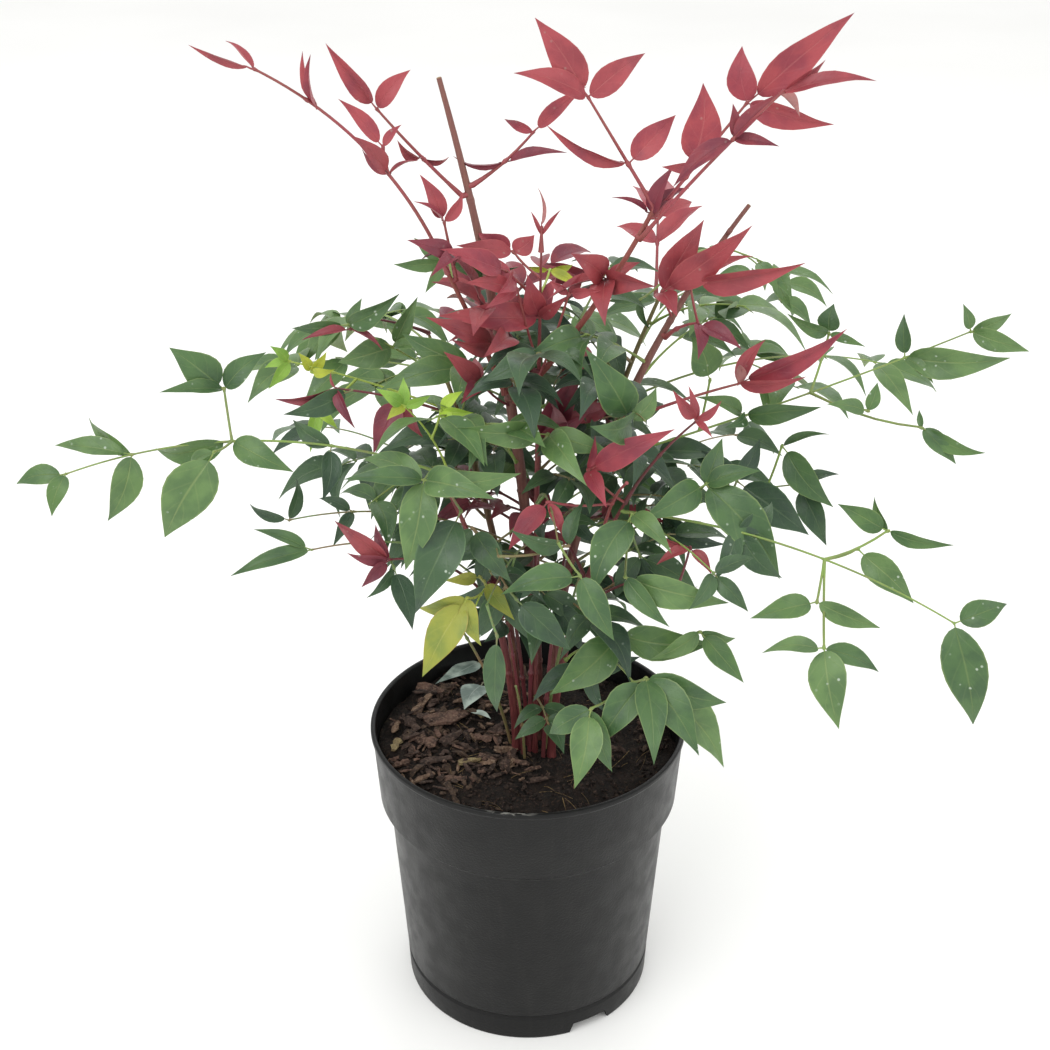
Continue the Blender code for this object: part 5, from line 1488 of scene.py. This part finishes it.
def makePot():
    p, f = potSizes, potFinish
    top, rim, wall, lip = p["height"], p["rimRadius"], p["wall"], f["lip"]
    rise = (p["wallTop"] - p["wallLow"]) / (p["wallTopZ"] - p["stepZ"])
    outside = [
        (0.0, 0.0), (p["middle"], 0.0), (p["middle"] + p["channelSlope"], p["channel"]),
        (p["footRadius"] - p["footRing"], p["channel"]), (p["footRadius"] - p["footRing"], 0.0),
        (p["footRadius"] - 0.0004, 0.0), (p["footRadius"], 0.0012),
        (p["wallLow"] + 0.0002, f["grooveZ"] - 0.0016),
        (p["wallLow"] - f["groove"] * 0.7, f["grooveZ"] - 0.0006),
        (p["wallLow"] - f["groove"] * 0.7, f["grooveZ"] + 0.0006),
        (p["wallLow"] + rise * 0.0045, f["grooveZ"] + 0.0020),
        (p["wallTop"], p["wallTopZ"]), (p["collarLow"] - 0.0006, p["collarLowZ"] - 0.0002),
        (p["collarLow"], p["collarLowZ"]), (p["collarTop"], top - p["rimDepth"]),
        (rim, top - p["rimDepth"] * 0.7), (rim - 0.0001, top - lip * 0.3), (rim - 0.0008, top),
        (p["collarTop"] - wall + 0.0008, top), (p["collarTop"] - wall, top - lip * 0.5),
        (p["collarLow"] - wall, p["collarLowZ"]), (p["wallTop"] - wall, p["wallTopZ"]),
        (p["wallLow"] - wall, p["stepZ"]), (p["footRadius"] - wall, p["channel"] + p["floor"]),
        (p["middle"] + p["channelSlope"], p["channel"] + p["floor"]), (p["middle"], p["floor"]),
        (0.0, p["floor"]),
    ]
    shell = turned("pot_shell", roundCorners(outside, f["soft"]), f["segments"], [potMaterial()])
    pot, cutter = objectOf("pot_shell", shell), objectOf("notches", potNotches())
    modifier = pot.modifiers.new("Openings", "BOOLEAN")
    modifier.operation = "DIFFERENCE"
    modifier.object = cutter
    cut = bpy.data.meshes.new_from_object(pot.evaluated_get(bpy.context.evaluated_depsgraph_get()))
    pot.modifiers.clear()
    pot.data = cut
    bpy.data.objects.remove(cutter)
    smoothShade(cut, 32)
    addPiece("pot_shell", pot, "black_plastic", "pot")
    print(f"pot: {len(cut.polygons)} faces")


makePot()


# compost: near black, banked to the left, with bark chips, fibres and old leaflets on it
compostLook = {
    "rings": 46, "segments": 150, "lump": 0.0022, "crumb": 0.0012, "bump": 0.0012, "bank": 0.0035,
    "level": 0.030, "cell": 0.004, "wallSink": 0.0016, "sinkFrom": 0.93, "sinkOver": 0.07,
    "lumpRate": 85, "crumbRate": 260,      # noise steps to the metre
}
# what lies scattered: how many to the square metre, seed, smallest and largest, tilt
scatters = {
    "compost_chips": dict(Density=16000.0, Seed=11, Smallest=0.35, Largest=1.35, Tilt=0.6),
    "compost_crumbs": dict(Density=60000.0, Seed=5, Smallest=0.4, Largest=1.4, Tilt=0.9),
    "compost_fibres": dict(Density=7800.0, Seed=23, Smallest=0.5, Largest=1.5, Tilt=0.35),
}
barkTints = [("#6A5146", "#3C2E28", "#8A7060"), ("#7E6654", "#584438", "#9C8672"),
             ("#4A3A33", "#2C221E", "#66544A"), ("#8E7E5A", "#6A5A42", "#A89A74")]
# the larger pieces that show: middle as (u, v), length and width in millimetres, heading, tilt, tint
barkPieces = [
    (446, 718, 28, 15, 20, 14, 0), (408, 706, 26, 7, 62, 18, 1), (396, 748, 13, 7, 80, 10, 3),
    (470, 760, 14, 6, 15, 12, 3), (506, 746, 15, 6, 8, 10, 1), (424, 742, 20, 10, -30, 16, 0),
    (452, 738, 16, 8, 40, 22, 2), (480, 736, 15, 8, -12, 14, 0), (436, 762, 17, 9, 10, 12, 2),
    (412, 726, 15, 8, -55, 20, 2), (466, 700, 17, 8, 30, 16, 1), (498, 726, 13, 6, 55, 12, 2),
    (430, 692, 18, 9, -18, 14, 0), (404, 688, 14, 6, 20, 18, 2), (452, 678, 14, 6, -40, 12, 2),
    (488, 756, 12, 6, -34, 14, 0), (400, 764, 12, 6, 30, 8, 0), (454, 778, 14, 7, -8, 10, 0),
    (498, 770, 12, 5, 24, 10, 2), (520, 760, 11, 5, -20, 12, 0), (424, 778, 12, 6, 34, 12, 1),
    (478, 712, 12, 5, -62, 20, 3), (540, 776, 12, 5, 16, 10, 2), (388, 728, 12, 6, 78, 10, 1),
    (614, 746, 12, 5, -24, 10, 2), (646, 716, 12, 5, 64, 12, 2), (516, 700, 12, 6, 42, 16, 2),
]

# the shapes they share, and the splinters round each: how many, how far off, the limits of their turn
barkLook = {"seed": 9, "shapes": 8, "rise": 0.0012, "thick": (0.0018, 0.0038), "clear": 0.003}
barkShards = {"each": 7, "reach": 0.014, "length": (0.003, 0.011), "turn": (34, 30, 180),
              "width": (0.25, 0.6), "thick": (0.0010, 0.0026), "rise": 0.0016,
              "tints": (0, 0, 1, 2, 2, 2)}


def compostHeight(x, y):
    # as the solid, with lumps and crumbs on it
    look = compostLook
    across = math.hypot(x, y)
    fade = min(1.0, max(0.0, (across - look["level"]) / look["level"]))
    ripple = math.sin(x * 190 + 1.0) * math.cos(y * 160 - 0.6) + 0.6 * math.sin(x * 90 - y * 230)
    bank = -x / potSizes["rimRadius"]
    height = compostTop - gap + fade * (ripple * look["bump"] + bank * look["bank"])
    height += noise.noise(Vector((x, y, 0.3)) * look["lumpRate"]) * look["lump"]
    height += noise.noise(Vector((x, y, 1.7)) * look["crumbRate"]) * look["crumb"]
    return height


def compostMaterial():
    # damp composted bark and peat: near black, matt, with browner crumbs
    return patchyFinish("damp peat and bark compost", 0.9, 0.2, "#1A1614",
                        [("#2A221E", dict(size=0.008, low=0.42, high=0.68, detail=6.0)),
                         ("#4C3A2E", dict(size=0.0018, low=0.55, high=0.75, most=0.6, detail=4.0))],
                        dict(size=0.002, low=0.2, high=0.8, detail=6.0), depth=0.0012, strength=0.8)


def woodMaterial(name, light, dark, fibre):
    # a torn piece of bark: matt, streaked along its fibres
    return patchyFinish(name, 0.85, 0.25, dark,
                        [(light, dict(size=0.007, low=0.35, high=0.68, detail=4.0)),
                         (fibre, dict(size=0.0016, low=0.45, high=0.70, most=0.6))],
                        dict(size=0.0014, low=0.2, high=0.8, detail=4.0), depth=0.0006, strength=0.9)


def makeCompost():
    look, p = compostLook, potSizes
    level = compostTop
    share = (level - p["collarLowZ"]) / (p["height"] - p["rimDepth"] - p["collarLowZ"])
    edge = p["collarLow"] + (p["collarTop"] - p["collarLow"]) * share - p["wall"] - 2 * gap
    floor = p["channel"] + p["floor"] + gap
    inside = p["wall"] + gap
    profile = [(0.0, p["floor"] + gap), (p["middle"] - gap, p["floor"] + gap),
               (p["middle"] + p["channelSlope"] - gap, floor), (p["footRadius"] - inside, floor),
               (p["wallLow"] - inside, p["stepZ"]), (p["wallTop"] - inside, p["wallTopZ"]),
               (p["collarLow"] - inside, p["collarLowZ"])]
    profile += [(edge * (1 - i / look["rings"]), level) for i in range(look["rings"])]
    profile.append((0.0, level))
    mesh = turned("compost_fill", profile, look["segments"], [compostMaterial()])
    for vertex in mesh.vertices:
        if vertex.co.z > level - 1e-6:
            across = math.hypot(vertex.co.x, vertex.co.y)
            lowered = look["wallSink"] * max(0.0, (across / edge - look["sinkFrom"]) / look["sinkOver"])
            vertex.co.z = compostHeight(vertex.co.x, vertex.co.y) - lowered
    smoothShade(mesh, 70)
    addPiece("compost_fill", mesh, "compost", "compost")
    print(f"compost: {len(mesh.polygons)} faces")
    return edge


def scatterTree():
    # points on the surface by its weight, a chip on each, turned and tilted at random
    tree, inputs = newTree("scatter on compost", Chips="Collection", Density="Float", Seed="Int",
                           Smallest="Float", Largest="Float", Tilt="Float", Material="Material")
    amount = addNode(tree, "GeometryNodeInputNamedAttribute", {"Name": "amount"}, data_type="FLOAT")
    thick = addNode(tree, "ShaderNodeMath", {0: amount, 1: inputs["Density"]}, operation="MULTIPLY")
    points = addNode(tree, "GeometryNodeDistributePointsOnFaces",
                     {"Mesh": inputs["Geometry"], "Density": thick, "Seed": inputs["Seed"]})
    chips = addNode(tree, "GeometryNodeCollectionInfo",
                    {"Collection": inputs["Chips"], "Separate Children": True, "Reset Children": True})
    back = addNode(tree, "ShaderNodeMath", {0: inputs["Tilt"], 1: -1.0}, operation="MULTIPLY")
    low = addNode(tree, "ShaderNodeCombineXYZ", {"X": back, "Y": back, "Z": -math.pi})
    high = addNode(tree, "ShaderNodeCombineXYZ", {"X": inputs["Tilt"], "Y": inputs["Tilt"], "Z": math.pi})
    turn = addNode(tree, "FunctionNodeRandomValue", {0: low, 1: high, "Seed": inputs["Seed"]},
                   data_type="FLOAT_VECTOR")
    spin = addNode(tree, "FunctionNodeRotateRotation",
                   {"Rotation": points.node.outputs["Rotation"],
                    "Rotate By": addNode(tree, "FunctionNodeEulerToRotation", {0: turn})},
                   rotation_space="LOCAL")
    size = addNode(tree, "FunctionNodeRandomValue", {2: inputs["Smallest"], 3: inputs["Largest"],
                                                     "Seed": inputs["Seed"]}, out=1, data_type="FLOAT")
    placed = addNode(tree, "GeometryNodeInstanceOnPoints",
                     {"Points": points, "Instance": chips, "Pick Instance": True, "Rotation": spin,
                      "Scale": size})
    return closeTree(tree, placed, inputs["Material"])


def ringedShape(name, rings, ring):
    # a closed shape from rings of points from end to end
    points = [point for i in range(rings) for point in ring(i / (rings - 1))]
    sides = len(points) // rings
    faces = [(here, above, besideAbove, beside)
             for here, beside, besideAbove, above in ringFaces(rings, sides)]
    faces += [tuple(range(sides)), tuple(reversed(range((rings - 1) * sides, rings * sides)))]
    mesh = meshOf(name, points, faces)
    build = bmesh.new()
    build.from_mesh(mesh)
    bmesh.ops.recalc_face_normals(build, faces=build.faces)
    build.to_mesh(mesh)
    build.free()
    return mesh


chipLook = {"sides": 6, "rings": 6, "bend": 0.12, "ends": 0.45, "ragged": (0.55, 1.20), "stray": 0.04,
            "corner": 0.06, "width": (0.80, 1.15), "thick": (0.7, 1.3), "lift": 0.35}
fibreLook = {"sides": 3, "rings": 7, "curl": 0.5, "rise": (0.05, 0.16)}


def tornChip(name, rng, length, width, thick):
    # a slab of bark: ragged, a little bent, with a ridge or two
    look = chipLook
    bend = rng.uniform(-look["bend"], look["bend"]) * length

    def ring(t):
        full = look["ends"] + (1 - look["ends"]) * math.sin(math.pi * (0.12 + 0.76 * t))
        full *= rng.uniform(*look["ragged"])
        x = (t - 0.5) * length + rng.uniform(-look["stray"], look["stray"]) * length
        shift = bend * math.sin(math.pi * t) + thick * look["lift"]
        return [(x + rng.uniform(-look["corner"], look["corner"]) * length,
                 across * width / 2 * full * rng.uniform(*look["width"]),
                 up * thick / 2 * full * rng.uniform(*look["thick"]) + shift)
                for across, up in spokes(look["sides"], 0.5)]

    return ringedShape(name, look["rings"], ring)


def bentFibre(name, rng, length, thick):
    # a straw or root hair on an arc just above the surface
    look = fibreLook
    curl, rise = rng.uniform(-look["curl"], look["curl"]), rng.uniform(*look["rise"])

    def ring(t):
        x, y = (t - 0.5) * length, curl * length * (t - 0.5) ** 2
        z = thick + rise * length * math.sin(math.pi * t) * 0.6
        return [(x, y + across * thick / 2, z + up * thick / 2) for across, up in spokes(look["sides"])]

    return ringedShape(name, look["rings"], ring)


def scatterBed(name, edge, weight, reach):
    # the compost's top as a coarse grid that carries how thickly this kind lies
    cell = compostLook["cell"]
    count = int(edge * 2 / cell)
    spots = [(-edge + i * cell, -edge + j * cell) for j in range(count + 1) for i in range(count + 1)]
    faces = []
    for j in range(count):
        for i in range(count):
            corner = j * (count + 1) + i
            faces.append((corner, corner + 1, corner + count + 2, corner + count + 1))
    mesh = meshOf(name, [(x, y, compostHeight(x, y)) for x, y in spots], faces)
    amounts = [weight(x, y) if math.hypot(x, y) < edge - reach else 0.0 for x, y in spots]
    giveValues(mesh, "amount", "FLOAT", amounts)
    return objectOf(name, mesh)


# where the chips lie: from x on to the left, behind y, each over so many metres, and clear of the canes
bankLook = {"x": 0.014, "over": 0.040, "least": 0.05, "y": -0.066, "overY": 0.030, "leastY": 0.12,
            "clearX": 0.006, "clear": 0.022}


def leftBank(x, y):
    look = bankLook
    toLeft = min(1.0, max(look["least"], (-x + look["x"]) / look["over"]))
    behind = min(1.0, max(look["leastY"], (y - look["y"]) / look["overY"]))
    return toLeft * behind if math.hypot(x - look["clearX"], y) > look["clear"] else 0.0


def clusters(x, y):
    return 0.35 + 0.65 * (noise.noise(Vector((x, y, 5)) * 60) > -0.1)


def litter(edge):
    tree = scatterTree()
    rng = random.Random(71)
    between = rng.uniform
    kinds = {
        "compost_chips": (leftBank, 0.013, ("#544439", "#2E2420", "#6C5848"), [
            tornChip(f"chip{k}", rng, between(0.006, 0.013), between(0.003, 0.006), between(0.0012, 0.0026))
            for k in range(9)]),
        "compost_crumbs": (clusters, 0.008, ("#332822", "#1A1513", "#54423A"), [
            tornChip(f"crumb{k}", rng, between(0.0022, 0.0045), between(0.0014, 0.0028),
                     between(0.0010, 0.0022)) for k in range(9)]),
        "compost_fibres": (lambda x, y: 0.6, 0.018, ("#7E6846", "#4C3C2C", "#A28C64"), [
            bentFibre(f"fibre{k}", rng, between(0.006, 0.020), between(0.00020, 0.00042)) for k in range(9)]),
    }
    for name, (weight, reach, tints, shapes) in kinds.items():
        thing = growFromShapes(scatterBed(name, edge, weight, reach), tree, "Chips", shapes, **scatters[name],
                               Material=woodMaterial(name.replace("_", " "), *tints))
        smoothShade(thing.data, 25)
        addPiece(name, thing, "compost")
        print(f"litter: {name}, {len(thing.data.polygons)} faces")


def barkBank():
    # the larger pieces, each where the picture shows it, lying on the compost
    look, shards = barkLook, barkShards
    rng = random.Random(look["seed"])
    shapes = [tornChip(f"bark{k}", rng, 1.0, 1.0, 1.0) for k in range(look["shapes"])]
    rows = []
    for u, v, length, width, heading, tilt, tint in barkPieces:
        spot = seenAt(u, v, z=compostTop + 0.003)
        inside = edge - length / 2000 - look["clear"]       # it stays clear of the pot's wall
        if math.hypot(spot.x, spot.y) > inside:
            spot *= inside / math.hypot(spot.x, spot.y)
        spot.z = compostHeight(spot.x, spot.y) + look["rise"]
        turn = (math.radians(rng.uniform(-tilt, tilt)), math.radians(rng.uniform(-tilt, tilt)) / 2,
                math.radians(heading))
        size = (length / 1000, width / 1000, rng.uniform(*look["thick"]))
        rows.append((spot, turn, size, rng.randrange(look["shapes"]), tint))
        for _ in range(shards["each"]):
            bearing, away = rng.uniform(0, 6.28), rng.uniform(0.3, 1.0) * shards["reach"]
            x, y = spot.x + away * math.cos(bearing), spot.y + away * math.sin(bearing)
            shard = rng.uniform(*shards["length"])
            if math.hypot(x, y) < edge - shard / 2 - 0.002:
                turn = tuple(math.radians(rng.uniform(-limit, limit)) for limit in shards["turn"])
                size = (shard, shard * rng.uniform(*shards["width"]), rng.uniform(*shards["thick"]))
                place = Vector((x, y, compostHeight(x, y) + shards["rise"]))
                rows.append((place, turn, size, rng.randrange(look["shapes"]),
                             rng.choice(shards["tints"])))
    materials = []
    for k, tint in enumerate(barkTints):
        materials += [woodMaterial(f"bark {k + 1}", *tint)] * 2
    thing = placedPiece("bark_pieces", rows, shapes, materials)
    smoothShade(thing.data, 25)
    addPiece(thing.name, thing, "compost")
    print(f"bark: {len(rows)} larger pieces, {len(thing.data.polygons)} faces")


edge = makeCompost()
litter(edge)
barkBank()


# stage: a pale floor, soft studio light, and the camera at the photo's angle
def makeStage():
    look = stageLook
    material, tree, surface, at = newFinish("pale studio floor", 0.8, 0.2)
    shade = mottle(tree, at, 0.6, low=0.3, high=0.7, most=0.3, detail=2.0)
    dress(tree, surface, look["floor"], [(shade, look["floorShade"])])
    half = look["floorHalf"]
    corners = [(-half, -half, 0), (half, -half, 0), (half, half, 0), (-half, half, 0)]
    objectOf("floor", meshOf("floor", corners, [(0, 1, 2, 3)], [material]))
    world = bpy.data.worlds.new("soft daylight")
    world.use_nodes = True
    sky = world.node_tree.nodes["Background"].inputs
    sky["Color"].default_value = (1.0, 1.0, 1.0, 1.0)
    sky["Strength"].default_value = look["world"]
    bpy.context.scene.world = world
    for name, (power, size, place) in look["lamps"].items():
        lamp = bpy.data.lights.new(name, "AREA")
        lamp.energy, lamp.size = power, size
        light = objectOf(name, lamp)
        light.location = place
        aim = Vector(look["aim"]) - Vector(place)
        light.rotation_euler = aim.to_track_quat("-Z", "Y").to_euler()
    view = bpy.data.cameras.new("photo view")
    view.lens, view.sensor_width = look["lens"], 36.0
    camera = objectOf("photo view", view)
    camera.location = look["eye"]
    camera.rotation_euler = (math.radians(90 - look["down"]), 0, 0)
    bpy.context.scene.camera = camera
    bpy.context.scene.view_settings.view_transform = "Standard"


makeStage()

print("stage: floor, lights and camera in place")
